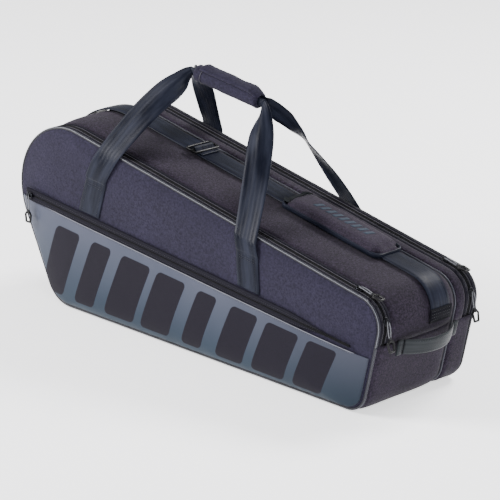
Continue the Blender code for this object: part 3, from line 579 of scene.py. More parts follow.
SHELL = woven("shell_weave", (70, 65, 92), (58, 54, 76))
GUSSET = woven("gusset_weave", (53, 46, 62), (94, 80, 104), fleck=0.8, run=("X", "Y"), uv=True, uneven=(0.46, 1.52))
PAD = woven("pad_weave", (70, 61, 80), (104, 90, 112), fleck=0.7, run=("X", "Y"))
LINING = woven("lining_weave", (40, 41, 47), (50, 51, 58), rough=0.7)
STRAP = webbed("strap_webbing", (33, 37, 54), (74, 79, 99), specular=0.06)
GREY_STRAP = webbed("grab_webbing", (56, 61, 66), (84, 89, 94), rib=0.0015)
TAPE = taped("zip_tape_rib", (24, 24, 33), (40, 39, 52))
WELT = taped("welt_rib", (38, 36, 48), (58, 55, 70))
COIL = moulded("zip_coil_nylon", (20, 19, 26), rough=0.5, specular=0.08)
PIPING = corded("silver_piping", (208, 210, 222), (160, 163, 178), rough=0.35)
DULL_PIPING = corded("dull_piping", (112, 114, 128), (88, 90, 104), rough=0.35)
DARK_PIPING = corded("dark_piping", (60, 60, 72), (44, 44, 54))
THREAD = corded("dark_thread", (46, 46, 56), (34, 34, 42), pitch=0.0008)
GREY_THREAD = corded("grey_thread", (136, 133, 146), (108, 105, 120), pitch=0.0008)
CORD = corded("silver_cord", (196, 198, 206), (120, 122, 132), rough=0.3, pitch=0.0018)
NICKEL = moulded("dark_nickel", (70, 71, 78), rough=0.3, metal=1.0)
PLASTIC = moulded("moulded_black", (20, 20, 24), rough=0.38, specular=0.22)
PATCH = webbed("pad_patch", (46, 50, 54), (70, 75, 80), rough=0.7, rib=0.0014)
PRINT = taped("pad_print_ink", (100, 114, 134), (118, 132, 150), rough=0.5)
SATIN = coated()


# ---------------------------------------------------------------- panels and gussets

def ring_panel(name, rim, middle, face, rows):
    """A panel of nested rings from its rim, (x, z) points, to its middle; face gives y at (x, z, share)."""
    grid = []
    for share in (1 - (k / rows) ** 1.5 for k in range(rows)):
        ring = [(middle[0] + (x - middle[0]) * share, middle[1] + (z - middle[1]) * share) for x, z in rim]
        grid.append([(x, face(x, z, share), z) for x, z in ring])
    obj = skin(name, grid, ring=True, caps=False)
    bm = bmesh.new()
    bm.from_mesh(obj.data)
    bm.verts.ensure_lookup_table()
    bm.faces.new(bm.verts[(rows - 1) * len(rim):]).smooth = True
    bmesh.ops.recalc_face_normals(bm, faces=bm.faces)
    bm.to_mesh(obj.data)
    bm.free()
    return obj


def turned_out(obj, way):
    """Flips an open sheet whose faces look against the given direction."""
    total = sum((polygon.normal * polygon.area for polygon in obj.data.polygons), Vector())
    if total.dot(Vector(way)) < 0:
        obj.data.flip_normals()
    return obj


PANEL_WALL, GUSSET_WALL, POCKET_WALL = 0.0036, 0.0026, 0.0014


def side_panel(side, word):
    """One whole side of padded cloth, in one piece over both the sewn lower part and the zipped flap."""
    rim = list(zip(*outline(np.linspace(0, ROUND, 230, endpoint=False), -0.0012)))

    def face(x, z, share):
        swell = PANEL_BULGE * (1 - share**8)
        soft = 0.0008 * ripple(x, side, z, 0.09, 3.1) * (1 - share**6)
        pucker = 0.0005 * ripple(x, side, z, 0.012, 5.0) * max(0.0, share - 0.86) / 0.14
        return PIPING_Y[side] + side * (PANEL_PROUD + swell + soft + pucker)

    panel = turned_out(ring_panel(f"{word}_panel", rim, SIDE_MIDDLE, face, 26), (0, side, 0))
    thicken(dress(panel, SHELL, "shell_fabric", None), PANEL_WALL)
    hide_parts(f"{word}_panel_upper", f"{word}_panel_lower")
    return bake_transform(panel)


def gusset(name, s_range, profile, *nodes):
    """A band of cloth round the outline; profile(z) gives its (y, offset) points."""
    rows = []
    for s in np.linspace(*s_range, max(12, round((s_range[1] - s_range[0]) / 0.007))):
        row = []
        points = profile(float(outline(s)[1]))
        for y, offset in points:
            inner = min(abs(y - points[0][0]), abs(points[-1][0] - y))
            crease = 0.0011 * ripple(s, y * 0.6, 0, 0.045, 7.7) * min(1.0, inner / 0.012)
            pucker = 0.0006 * ripple(s, y, 0, 0.009, 2.2) * math.exp(-inner / 0.006)
            x, z = outline(s, offset + crease + pucker)
            row.append((x, y, z))
        rows.append(row)
    band = skin(name, rows)
    if band.data.polygons[0].normal.dot(outward(s_range[0])) < 0:
        band.data.flip_normals()
    return thicken(dress(band, GUSSET, "shell_fabric", "root", *nodes), GUSSET_WALL)


def across_gusset(front, rear, crown, count, stands=False):
    """A gusset's section: full in the middle, drawn in at its seams, and flat low down if the bag stands on it."""
    shares = [k / (count - 1) for k in range(count)]

    def profile(z):
        up = min(1.0, max(0.0, (z - 0.03) / 0.09)) if stands else 1.0
        flat = [0.004 * (1 - (2 * s - 1) ** 14) for s in shares]
        full = [crown * (1 - (2 * s - 1) ** 4) * 0.96 for s in shares]
        return [(front + (rear - front) * s, a * (1 - up) + b * up) for s, a, b in zip(shares, flat, full)]

    return profile


def build_gussets():
    for word, front, rear, zip_front, zip_rear, crown, counts in (
            ("main", FRONT_SEAM, MID_FRONT, ZIP_BAND, 0.0, 0.0068, (16, 16)),
            ("rear", MID_REAR, REAR_SEAM, 0.0, ZIP_BAND, 0.0040, (10, 12))):
        upper = across_gusset(front + zip_front, rear - zip_rear, crown, counts[0])
        gusset(f"{word}_gusset_upper", UPPER, upper, f"{word}_gusset_top")
        lower = across_gusset(front, rear, crown, counts[1], stands=True)
        nodes = (f"{word}_gusset_{part}" for part in ("base", "head_end", "handle_end"))
        gusset(f"{word}_gusset_lower", LOWER, lower, *nodes)


# ---------------------------------------------------------------- piping and the compartments' zips

def seam_rod(name, y, s_range, radius, material, body, offset, slot="piping", step=0.005):
    """A cord along the outline at the given y."""
    count = round((s_range[1] - s_range[0]) / step)
    loop = s_range[1] - s_range[0] > ROUND - 0.001
    stops = np.linspace(*s_range, count, endpoint=not loop)
    points = [(x, y + 0.0003 * ripple(s, y, 0, 0.03), z) for s, (x, z) in
              zip(stops, np.array(outline(stops, offset)).T)]
    return dress(rod(name, points, radius, loop=loop, side=[(0, 1, 0)] * count), material, slot, body)


def build_piping():
    for side, word in ((-1, "front"), (1, "rear")):
        y = PIPING_Y[side]
        for part, s_range, body in (("upper", UPPER, f"{word}_flap"), ("lower", LOWER, "root")):
            cord = seam_rod(f"{word}_piping_cord_{part}", y, s_range, 0.0019, DARK_PIPING, body, 0.0002)
            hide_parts(f"{word}_piping_{part}")
            seam_rod(f"{word}_piping_flange_{part}", y - side * 0.0024, s_range, 0.0013, TAPE, body, -0.0002)
            if word == "front":
                # Painted highlight: the thin edge line is bright silver along the upper part, lit from above, and dull
                # along the lower part.
                edge_painted_lit_on_top = PIPING if part == "upper" else DULL_PIPING
                seam_rod(f"front_piping_edge_{part}", y - 0.0010, s_range, 0.0005, edge_painted_lit_on_top, body, 0.0014)
                seam_rod(f"front_piping_trim_{part}", y + 0.0020, s_range, 0.00045, DULL_PIPING, body, 0.0014)
    middle = seam_rod("middle_piping_cord", MID_Y, (0.0, ROUND), 0.0013, DULL_PIPING, "root", 0.0006)
    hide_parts("middle_piping")


def strip(name, s_range, section, material, slot, body):
    """A narrow strip along the outline, whose ring section is (y, offset) points."""
    rows = []
    for s in np.linspace(*s_range, round((s_range[1] - s_range[0]) / 0.006)):
        places = [(y, outline(s, offset)) for y, offset in section]
        rows.append([(float(x), y, float(z)) for y, (x, z) in places])
    return dress(skin(name, rows, ring=True), material, slot, body)


TOOTH = 0.001  # half the coil's pitch
WELT_SECTION = ((0.0, 0.0005), (0.0, 0.0014), (0.0010, 0.0021), (0.0034, 0.0022), (0.0046, 0.0018), (0.0050, 0.0010),
                (0.0046, 0.0005))


def coil(name, points, radii, body, side=None):
    """Half of a zip's coil: a bead whose radius changes at every point, so that it has a tooth every 2 mm."""
    radii = [radii[k % 2] for k in range(len(points))]
    dress(rod(name, points, radii, 6, side=side and [side] * len(points)), COIL, "zip_tape", body)


def build_zip(side, word):
    """A compartment's zip: on each side of the coil a tape, with a folded welt stitched over its edge."""
    seam, inward = (FRONT_SEAM, 1) if side < 0 else (REAR_SEAM, -1)
    ends = (UPPER[0] + 0.001, UPPER[1] - 0.001)
    half = ZIP_BAND / 2
    stops = np.arange(*ends, TOOTH)
    for part, start, way, body in (("outer", 0.0, 1, f"{word}_flap"), ("inner", ZIP_BAND, -1, "root")):
        def at(u):
            return seam + inward * (start + way * u)

        edge = half - 0.0004
        tape = [(at(u), o) for u, o in ((0.0, 0.0004), (edge, 0.0004), (edge, -0.0008), (0.0, -0.0008))]
        piece = strip(f"{word}_zip_tape_{part}", ends, tape, TAPE, "zip_tape", body)
        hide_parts(f"{word}_zip_{part}_tape")
        strip(f"{word}_zip_welt_{part}", ends, [(at(u), o) for u, o in WELT_SECTION], WELT, "shell_fabric", body)
        points = [(float(x), at(half - 0.0017), float(z)) for x, z in np.array(outline(stops, 0.0011)).T]
        coil(f"{word}_zip_coil_{part}", points, (0.0008, 0.00115), body, (0, inward * way, 0))
        # Light grey cords just past each welt's edge: partly the welt's grey stitching, partly a painted highlight
        # along the welt's edge.
        for number, u in enumerate((0.0056, 0.0079)):
            seam_rod(f"{word}_zip_rib_{part}_{number}", at(u), ends, 0.00048, GREY_THREAD, body, 0.0006,
                     "zip_tape", 0.006)


# ---------------------------------------------------------------- the pocket

def clipped(points, below):
    """The part of a ring of (x, z) points that lies under the line z = below(x)."""
    kept = []
    for (ax, az), (bx, bz) in zip(points, points[1:] + points[:1]):
        a, b = az - below(ax), bz - below(bx)
        if a <= 0:
            kept.append((ax, az))
        if (a <= 0) != (b <= 0):
            share = a / (a - b)
            kept.append((ax + (bx - ax) * share, az + (bz - az) * share))
    return kept


def resampled(points, step):
    """The ring with points every step, corners kept."""
    fine = []
    for a, b in zip(points, points[1:] + points[:1]):
        count = max(1, round(math.dist(a, b) / step))
        fine += [(a[0] + (b[0] - a[0]) * k / count, a[1] + (b[1] - a[1]) * k / count) for k in range(count)]
    return fine


def pocket_top(x):
    return pocket_z(x) - POCKET_TAPE - 0.0002


def pocket_y(x, z, share=0.0):
    """The pocket's outer face, fuller down from its zip."""
    inside = max(0.0, 1.0 - gauge(x, z) ** 5)
    down = min(1.0, max(0.0, (pocket_z(x) - z) / 0.060))
    rise = 0.0022 + 0.0036 * inside * (0.3 + 0.7 * math.sin(down * math.pi / 2))
    soft = 0.0009 * ripple(x, 0.4, z, 0.12, 9.0) * inside
    pucker = 0.0006 * ripple(x, 0, z, 0.014, 1.4) * max(0.0, share - 0.8) / 0.2
    return face_y(-1, x, z) - rise - soft - pucker


POCKET_ENDS = (-0.347, 0.330)
POCKET_FADE = (0.205, 0.090)  # where the welts start to close over the zip's handle end, and over what length
POCKET_WELT = ((0.0012, 0.0006), (0.0011, 0.0018), (0.0024, 0.0027), (0.0058, 0.0030), (0.0088, 0.0025),
               (0.0098, 0.0012), (0.0095, 0.0004))
POCKET_TAPE_SECTION = ((0.0002, 0.0001), (0.0002, 0.0008), (0.0040, 0.0008), (0.0040, 0.0001))


def pocket_line(way, u, out):
    """A line along the pocket's zip, which flattens into the cloth near the handle end."""
    points = []
    for x in np.linspace(*POCKET_ENDS, 90):
        flat = min(1.0, max(0.0, (x - POCKET_FADE[0]) / POCKET_FADE[1]))
        flat = flat * flat * (3 - 2 * flat)
        point = Vector((x, POCKET_ZIP_Y - out * (1 - 0.85 * flat), pocket_z(x)))
        points.append(point + OFF_FOLD * (way * (u * (1 - 0.8 * flat))))
    return points


def build_pocket():
    ring = [(float(x), float(z)) for x, z in zip(*outline(np.linspace(0, ROUND, 260, endpoint=False), -0.0044))]
    rim = resampled(clipped(ring, pocket_top), 0.008)
    panel = turned_out(ring_panel("pocket_front", rim, (0.0, 0.070), pocket_y, 22), (0, -1, 0))
    thicken(dress(panel, SATIN, "coated_panel", "pocket", "pocket_panel"), POCKET_WALL)
    for part, way, body in (("upper", 1, "root"), ("lower", -1, "pocket")):
        def along_zip(name, section):
            lines = [pocket_line(way, u, out) for u, out in section]
            return skin(f"pocket_{name}_{part}", list(zip(*lines)), ring=True)

        dress(along_zip("welt", POCKET_WELT), WELT, "zip_tape", body, f"pocket_zip_{part}_tape")
        dress(along_zip("tape", POCKET_TAPE_SECTION), TAPE, "zip_tape", body)
        points = [Vector((x, POCKET_ZIP_Y - 0.0012, pocket_z(x))) + OFF_FOLD * (way * 0.0011)
                  for x in np.arange(*POCKET_ENDS, TOOTH)]
        coil(f"pocket_coil_{part}", points, (0.0007, 0.0010), body)
        stitches(f"pocket_stitches_{part}", [(pocket_line(way, 0.0050, 0.0029), (0, -1, 0))], body)
    hem = [(x, pocket_y(x, pocket_top(x) - 0.0022) - 0.0002, pocket_top(x) - 0.0022)
           for x in np.linspace(-0.345, 0.33, 100)]
    stitches("pocket_hem_stitches", [(hem, (0, -1, 0))], "pocket", GREY_THREAD)
    edging = [(x, pocket_y(x, pocket_top(x)) + 0.0002, pocket_top(x) - 0.0001) for x in np.linspace(-0.350, 0.335, 100)]
    dress(rod("pocket_edging", edging, 0.0006, 6), PIPING, "piping", "pocket")


# ---------------------------------------------------------------- carrying handles and grip

STRAP_FOOT = {"left": -0.207, "right": 0.131}
STRAP_BEND = {"left": (-0.190, 0.226), "right": (0.126, 0.190)}
STRAP_EDGE = {"left": -0.168, "right": 0.118}
FREE_FACING = Vector((0.655, -0.685, 0.319))  # the free webbing turns its face this way
SEAM_INSET = 0.0155  # of the strap's stitches, from its middle


def strap_y(side, x, z):
    proud = max(abs(face_y(side, x + share * WEBBING / 2, z)) for share in (-1, 0, 1))
    return side * (proud + 0.0013)


def foot_line(end, share, rise=0.0):
    """(x, z) at a share of the way from a strap's sewn foot, that far over the fold, up to its bend."""
    x, (bend_x, bend_z) = STRAP_FOOT[end], STRAP_BEND[end]
    z = fold_z(x) + rise
    return x + (bend_x - x) * share, z + (bend_z - z) * share


def grip_point(x, side):
    return Vector((x, side * 0.0050, GRIP_Z - math.tan(GRIP_SLOPE) * (x - sum(GRIP_X) / 2)))


def towards(direction, other):
    """The direction, or its opposite if that is nearer to the other one."""
    return direction if direction.dot(other) > 0 else -direction


def free_webbing(side, turn, top, facing, run):
    """(share, width direction, width share, fold depth, camber) for the free webbing from the edge to the grip."""
    if side > 0 and turn < 0:  # this strap is twisted half round
        edgeways = towards(run.cross(facing).normalized(), top)
        return [(share, way, wide, 0.0, 0.0012) for share, way, wide in (
            (0.14, top, 1.0), (0.30, top.lerp(edgeways, 0.25), 1.0), (0.45, top.lerp(edgeways, 0.7), 1.0),
            (0.57, edgeways, 1.0), (0.68, edgeways.lerp(facing, 0.22), 1.0), (0.79, edgeways.lerp(facing, 0.36), 0.96),
            (0.89, edgeways.lerp(facing, 0.6), 0.66))]
    down = Vector((turn * 0.35, 0, -0.95))
    facing_share = 0.45 if side < 0 else 0.2
    free = []
    for share, face, wide, crease, camber in (
            (0.16, 0.25, 1.0, 0.0004, 0.0018), (0.36, 0.5, 1.0, 0.0014, 0.0016), (0.56, 0.7, 0.99, 0.0034, 0.0008),
            (0.74, 0.7, 0.94, 0.0066, 0.0), (0.88, 0.5, 0.72, 0.0080, 0.0)):
        way = top.lerp(facing, face * facing_share).lerp(down, max(0.0, share - 0.62) * 1.6)
        free.append((share, way, wide, crease, camber))
    return free


def handle_stations(side, end, turn, grip_end):
    """One strap from its sewn foot over the bend and the edge to the grip's mouth."""
    fold, top = ALONG_FOLD * turn, ALONG_TOP * turn
    stations = []
    for share in (0.0, 0.33, 0.66, 0.93):
        x, z = foot_line(end, share, 0.002)
        stations.append(((x, strap_y(side, x, z), z), fold, WEBBING, 0.0, 0.0))
    x, z = STRAP_BEND[end]
    bend = Vector((x, strap_y(side, x, z) + side * 0.0014, z + 0.002))
    edge = top_point(STRAP_EDGE[end], PIPING_Y[side] + side * 0.0040, 0.0024)
    mouth = grip_point(grip_end - turn * 0.010, side) + Vector((0, side * 0.0015, -0.002))
    run = (mouth - edge).normalized()
    facing = towards(run.cross(FREE_FACING).normalized(), top)
    stations += [
        (bend, fold, WEBBING, 0.0, 0.0004),
        (bend.lerp(edge, 0.55) + Vector((0, side * 0.0030, 0)), top, WEBBING, 0.0, 0.0008),
        (edge, top, WEBBING, 0.0, 0.0012),
    ]
    for share, way, wide, crease, camber in free_webbing(side, turn, top, facing, run):
        slack = math.sin(math.pi * share)
        lift = OFF_TOP * (0.008 * slack) + Vector((-turn * 0.004 * slack, 0, 0))
        stations.append((edge.lerp(mouth, share) + lift, way, WEBBING * wide, crease, camber))
    return stations + [
        (mouth, (turn * 0.35, 0, -0.95), 0.0165, 0.0040, 0.0),
        (grip_point(grip_end + turn * 0.004, side), (0, 0, -1), 0.012, 0.0010, 0.0),
    ]


def build_handle(side, word):
    body = f"{word}_handle"
    left = handle_stations(side, "left", 1, GRIP_X[0])
    right = handle_stations(side, "right", -1, GRIP_X[1])
    strap = ribbon(f"{word}_carry_strap", left + right[::-1], 6, 0.0019)
    dress(strap, STRAP, "webbing", None, f"{word}_webbing_left", f"{word}_webbing_right", f"{word}_handle_webbing")
    hinge, axis = (Vector(JOINTS[f"{word}_handle_swing"][key]) for key in ("pos_m", "axis"))
    rise = axis.cross(Vector((0, side, 0)))
    rise = rise if rise.z > 0 else -rise
    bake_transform(strap)
    runs = []
    for end in STRAP_FOOT:
        def sewn(share):
            x, z = foot_line(end, share)
            return x, strap_y(side, x, z) + side * 0.0010, z

        for inset in (-SEAM_INSET, SEAM_INSET):
            line = [sewn(share) for share in np.linspace(0.06, 0.80, 12)]
            runs.append(([(x + inset, y, z + inset * ALONG_FOLD.z) for x, y, z in line], (0, side, 0)))
        for share in (0.80, 0.86):
            across = [Vector(sewn(share)) + ALONG_FOLD * inset for inset in (-SEAM_INSET, SEAM_INSET)]
            runs.append((across, (0, side, 0)))
    stitches(f"{word}_strap_stitches", runs, f"{word}_flap")
    build_grip_half(side, word, body)


def grip_lip(side):
    """The section's points along the top: a short roll in front, and the overlapping lip behind it."""
    def above(degrees, rise):
        """A point that far over the tube's surface, at an angle from its crest towards the front."""
        t = math.radians(degrees)
        return Vector((-(GRIP_OUTER + rise) * math.sin(t), (GRIP_OUTER + rise) * math.cos(t)))

    front = ((14, 0.0004), (26, 0.0009), (38, 0.0012), (44, 0.0018), (40, 0.0022), (24, 0.0020), (8, 0.0018))
    rear = ((-24, 0.0004), (-20, 0.0036), (-8, 0.0056), (6, 0.0058), (20, 0.0060), (34, 0.0064), (45, 0.0068),
            (52, 0.0058), (53, 0.0042), (47, 0.0026), (34, 0.0026), (20, 0.0026), (6, 0.0026))
    return [above(*point) for point in (front if side < 0 else rear)]


def build_grip_half(side, word, body):
    """Half of the padded grip: a soft half tube, and a rolled lip that closes it on top."""
    split = 0.0005 * side
    length = GRIP_X[1] - GRIP_X[0]
    place = Matrix.Translation((sum(GRIP_X) / 2, 0, GRIP_Z)) @ Matrix.Rotation(GRIP_SLOPE, 4, "Y")
    turns = [math.pi * k / 18 - math.pi / 2 for k in range(19)]
    outer, inside = ([Vector((split + side * radius * math.cos(t), radius * math.sin(t))) for t in ts]
                     for radius, ts in ((GRIP_OUTER, turns), (GRIP_INNER, turns[::-1])))
    lip = range(len(outer) - 2, len(outer) - 2 + len(grip_lip(side)))
    section = outer[:-2] + grip_lip(side) + [Vector((split, GRIP_OUTER - 0.0004))] + inside
    rows = []
    for k in range(41):
        share = k / 40
        end = min(share, 1 - share)
        squeeze = 1.0 - 0.16 * math.exp(-end / 0.018) if k not in (0, 40) else 0.78
        x = -length / 2 + length * share
        row = []
        for number, point in enumerate(section):
            swell = 0.0008 * ripple(x, point.x, point.y, 0.022, side * 3.3)
            wave = 0.0005 * math.sin(share * 46 + number * 0.2) * math.exp(-end / 0.12)
            factor = squeeze + (swell + wave) / GRIP_OUTER
            flap = side > 0 and number in lip
            shift = 0.012 * (1 - share) ** 2 + 0.005 * max(0.0, share - 0.8) if flap else 0.0
            curl = -0.003 * max(0.0, share - 0.88) / 0.12 if flap else 0.0
            row.append(place @ Vector((x + shift, split + (point.x - split) * factor, point.y * factor + curl)))
        rows.append(row)
    grip = skin(f"{word}_grip_pad", rows, ring=True)
    dress(grip, SHELL, "shell_fabric", body, f"{word}_grip_wrap")
    if side < 0:
        x, reach = -length / 2 + 0.016, GRIP_OUTER + 0.0006
        loop = [place @ Vector((x + 0.0015 * math.sin(t), split + reach * -abs(math.cos(t)), reach * math.sin(t)))
                for t in np.linspace(-math.pi / 2, math.pi / 2, 24)]
        dress(rod("grip_seam_cord", loop, 0.0006, 6), GREY_THREAD, "webbing", body)


# ---------------------------------------------------------------- the shoulder strap

S_STRAP = (0.020, S_HEAD - 0.004)
STRAP_WIDTH, PATCH_WIDTH = 0.040, 0.046


def laid(s, y, lift):
    """A point over the outline, on the shoulder strap: sewn down at both ends, slack between."""
    end = min(s - S_STRAP[0], S_STRAP[1] - s)
    base = 0.0074 + 0.0024 * min(1.0, end / 0.04)
    x, z = outline(s, base + 0.0006 * ripple(s, 0, 0, 0.06, 4.0) * min(1.0, end / 0.05) + lift)
    return Vector((float(x), y, float(z)))


def laid_strip(name, s_range, width, lift, wall, material, node):
    """Webbing that follows the top of the bag."""
    rows = []
    for s in np.linspace(*s_range, max(3, round((s_range[1] - s_range[0]) / 0.006))):
        bow = 0.0008 * ripple(s, 0.3, 0, 0.05, 6.0)
        low, high = [], []
        for k in (-1, -0.96, -0.7, -0.35, 0, 0.35, 0.7, 0.96, 1):
            y, rise = STRAP_Y + k * width / 2, lift + 0.0006 * (1 - k * k) + bow * k * abs(k) * 0.4
            low.append(laid(s, y, rise))
            high.append(laid(s, y, rise + wall * (0.6 if abs(k) == 1 else 1)))
        rows.append(low + high[::-1])
    return dress(skin(name, rows, ring=True), material, "webbing", "root", node)


def build_shoulder_strap():
    start, end = S_STRAP
    laid_strip("shoulder_webbing", S_STRAP, STRAP_WIDTH, 0.0, 0.0018, STRAP, "shoulder_strap")
    for name, ends, node in (("strap_end_handle", (start - 0.004, start + 0.013), "strap_patch_handle_end"),
                             ("strap_end_head", (end - 0.014, end + 0.002), "strap_patch_head_end")):
        laid_strip(name, ends, PATCH_WIDTH, 0.0019, 0.0014, TAPE, node)
    runs = []
    for first, way in ((start, 1), (end, -1)):
        for s in (first + way * distance for distance in (0.000, 0.0035, 0.0070, 0.0105)):
            runs.append(([laid(s, y, 0.0034) for y in np.linspace(STRAP_Y - 0.021, STRAP_Y + 0.021, 12)], outward(s)))
    stitches("strap_end_stitches", runs, "root", radius=0.0004)


# ---------------------------------------------------------------- the shoulder pad

PAD_HALF_X, PAD_HALF_Y, PAD_THICK = (PAD_X[1] - PAD_X[0]) / ALONG_TOP.x / 2 - 0.004, 0.0290, 0.0118
PAD_CORNER = 0.012
SWELL_FRAMES = 20
SWELL_LIMIT = 0.0035  # how far the simulated cloth may move a point


def swollen(pad, rest):
    """The pad's points after a short cloth simulation with pressure inside, mostly moved up and down."""
    cloth = pad.modifiers.new("cloth", "CLOTH")
    settings = {"quality": 6, "mass": 0.2, "tension_stiffness": 25, "compression_stiffness": 25,
                "bending_stiffness": 0.6, "use_pressure": True, "uniform_pressure_force": 4.0}
    for key, value in settings.items():
        setattr(cloth.settings, key, value)
    cloth.settings.effector_weights.gravity = 0
    cloth.point_cache.frame_start, cloth.point_cache.frame_end = 1, SWELL_FRAMES
    for number in range(1, SWELL_FRAMES + 1):
        bpy.context.scene.frame_set(number)
    graph = bpy.context.evaluated_depsgraph_get()
    full = np.array([v.co for v in pad.evaluated_get(graph).data.vertices])
    pad.modifiers.clear()
    bpy.context.scene.frame_set(1)
    move = (full - rest) * (0.15, 0.15, 1.0)
    reach = np.linalg.norm(move, axis=1, keepdims=True)
    return rest + move * np.minimum(1.0, SWELL_LIMIT / np.maximum(reach, 1e-9))


def pad_cushion(place):
    """The pad's soft slab, thinner at its ends and domed on top."""
    half_x, half_y = PAD_HALF_X, PAD_HALF_Y
    bm = bmesh.new()
    bmesh.ops.create_cube(bm, size=1.0)
    bmesh.ops.scale(bm, vec=(2 * half_x, 2 * half_y, PAD_THICK), verts=bm.verts)
    uprights = [edge for edge in bm.edges if abs(edge.verts[0].co.z - edge.verts[1].co.z) > PAD_THICK / 2]
    bmesh.ops.bevel(bm, geom=uprights, offset=PAD_CORNER, segments=4, affect="EDGES")
    pad = from_bmesh("shoulder_pad_cushion", bm)
    remesh = pad.modifiers.new("remesh", "REMESH")
    remesh.mode = "VOXEL"
    remesh.voxel_size = 0.0042
    apply_modifiers(pad)
    points = np.array([v.co for v in pad.data.vertices])
    points = swollen(pad, points)
    for vert, (x, y, z) in zip(pad.data.vertices, points):
        end = max(0.0, half_x - abs(x)) / 0.016
        if z > 0:
            z = z * (1 - 0.42 * math.exp(-end * end)) + 0.0020 * (1 - (y / half_y) ** 2) * min(1.0, end)
            z -= 0.0010 * min(1.0, abs(y) / half_y) ** 4
        vert.co = (x, y, max(z, -0.0056) + 0.0006 * ripple(x, y, z, 0.03, 8.0))
    soft = pad.modifiers.new("soft", "SUBSURF")
    soft.levels = soft.render_levels = 1
    apply_modifiers(pad)
    smoothed(pad).data.transform(place)
    dress(pad, PAD, "shell_fabric", "shoulder_pad", "shoulder_pad")
    return pad


def pad_binding(place):
    """Webbing bound round the pad's side."""
    ring = rounded(PAD_HALF_X, PAD_HALF_Y, PAD_CORNER, PAD_CORNER + 0.0008, 8)
    edge = [Vector((x, y, 0)) for x, y in resampled(ring, 0.006)]
    band = ((0.0, -0.0058), (0.0, 0.0002), (-0.0006, 0.0012), (-0.0036, 0.0014), (-0.0036, -0.0058))
    rows = []
    for number, point in enumerate(edge):
        ahead = edge[(number + 1) % len(edge)] - edge[number - 1]
        out = Vector((ahead.y, -ahead.x, 0)).normalized()
        rows.append([place @ (point + out * u + Vector((0, 0, z))) for u, z in band])
    dress(skin("pad_binding", rows, ring=True, loop=True), STRAP, "webbing", "shoulder_pad")


def build_pad():
    """The shoulder pad: its cushion, binding, stitches, end patch and a plain row of printed bars."""
    half_x, half_y = PAD_HALF_X, PAD_HALF_Y
    place = on_top(sum(PAD_X) / 2, STRAP_LIFT - 0.0016 + 0.0066)
    pad = pad_cushion(place)
    down = (place.to_3x3() @ Vector((0, 0, -1))).normalized()

    def top(x, y):
        """The point of the pad's upper face over (x, y) in the pad's own plane."""
        inverse = pad.matrix_world.inverted()
        hit, point, _, _ = pad.ray_cast(inverse @ (place @ Vector((x, y, 0.05))), down)
        return pad.matrix_world @ point if hit else place @ Vector((x, y, 0.005))

    def laid_on(name, rows, low, high):
        """A thin sheet on the pad's face, between two heights over it."""
        return skin(name, [[point + OFF_TOP * low for point in row] +
                           [point + OFF_TOP * high for point in reversed(row)] for row in rows], ring=True)

    pad_binding(place)
    runs = []
    for x in (-half_x + 0.0045, -half_x + 0.0150, -half_x + 0.0175, half_x - 0.0045, half_x - 0.0150):
        runs.append(([top(x, y) for y in np.linspace(-half_y * 0.8, half_y * 0.8, 12)], OFF_TOP))
    runs.append(([top(x, -half_y * 0.84) for x in np.linspace(-half_x + 0.012, half_x - 0.012, 30)], OFF_TOP))
    stitches("pad_stitches", runs, "shoulder_pad")
    patch = []
    for x in np.linspace(-half_x + 0.001, -half_x + 0.0135, 7):
        past = max(0.0, -half_x + PAD_CORNER - x)
        reach = half_y - (PAD_CORNER - math.sqrt(max(0.0, PAD_CORNER**2 - past**2))) - 0.0008
        patch.append([top(x, y) for y in np.linspace(-reach, reach, 13)])
    dress(laid_on("pad_end_patch", patch, 0.0002, 0.0010), PATCH, "webbing", "shoulder_pad")
    bars = []
    for number in range(9):
        x = -half_x + 0.052 + 0.0125 * number
        rows = [[top(x + a + 0.35 * y, y - 0.001) for a in (-0.0036, 0.0, 0.0036)]
                for y in np.linspace(-0.0075, 0.0075, 5)]
        bars.append(laid_on(f"bar{number}", rows, 0.0001, 0.0004))
    dress(joined("pad_print", bars), PRINT, "coated_panel", "shoulder_pad")


# ---------------------------------------------------------------- the strap's adjuster and the end handle

def build_adjuster():
    """The shoulder strap's tri-glide: a moulded frame with a middle bar, and the webbing's loop over the bar."""
    place = on_top(-0.100, STRAP_LIFT + 0.0042)
    half_x, half_y = 0.0105, 0.0245
    ring = [place @ Vector((x, y, 0.0008)) for x, y in rounded(half_x, half_y, 0.003, 0.003, 3)]
    frame_rod = rod("adjuster_frame", ring, 0.0019, 10, loop=True)
    bar = rod("adjuster_bar", [place @ Vector((0.0, y, 0.0014)) for y in np.linspace(-half_y, half_y, 7)], 0.0017, 8)
    piece = smoothed(joined("adjuster_tri_glide", [frame_rod, bar]))
    dress(piece, PLASTIC, "plastic", "strap_adjuster", "strap_adjuster")
    loop = ((-0.0075, -0.0010), (-0.0045, 0.0008), (-0.0015, 0.0042), (0.0015, 0.0044), (0.0045, 0.0012),
            (0.0075, -0.0006), (0.020, -0.0006))
    stations = [(place @ Vector((x, 0, z)), (0, 1, 0), 0.0385, 0.0, 0.0003) for x, z in loop]
    dress(ribbon("adjuster_webbing", stations, 4, 0.0013), STRAP, "webbing", "strap_adjuster")


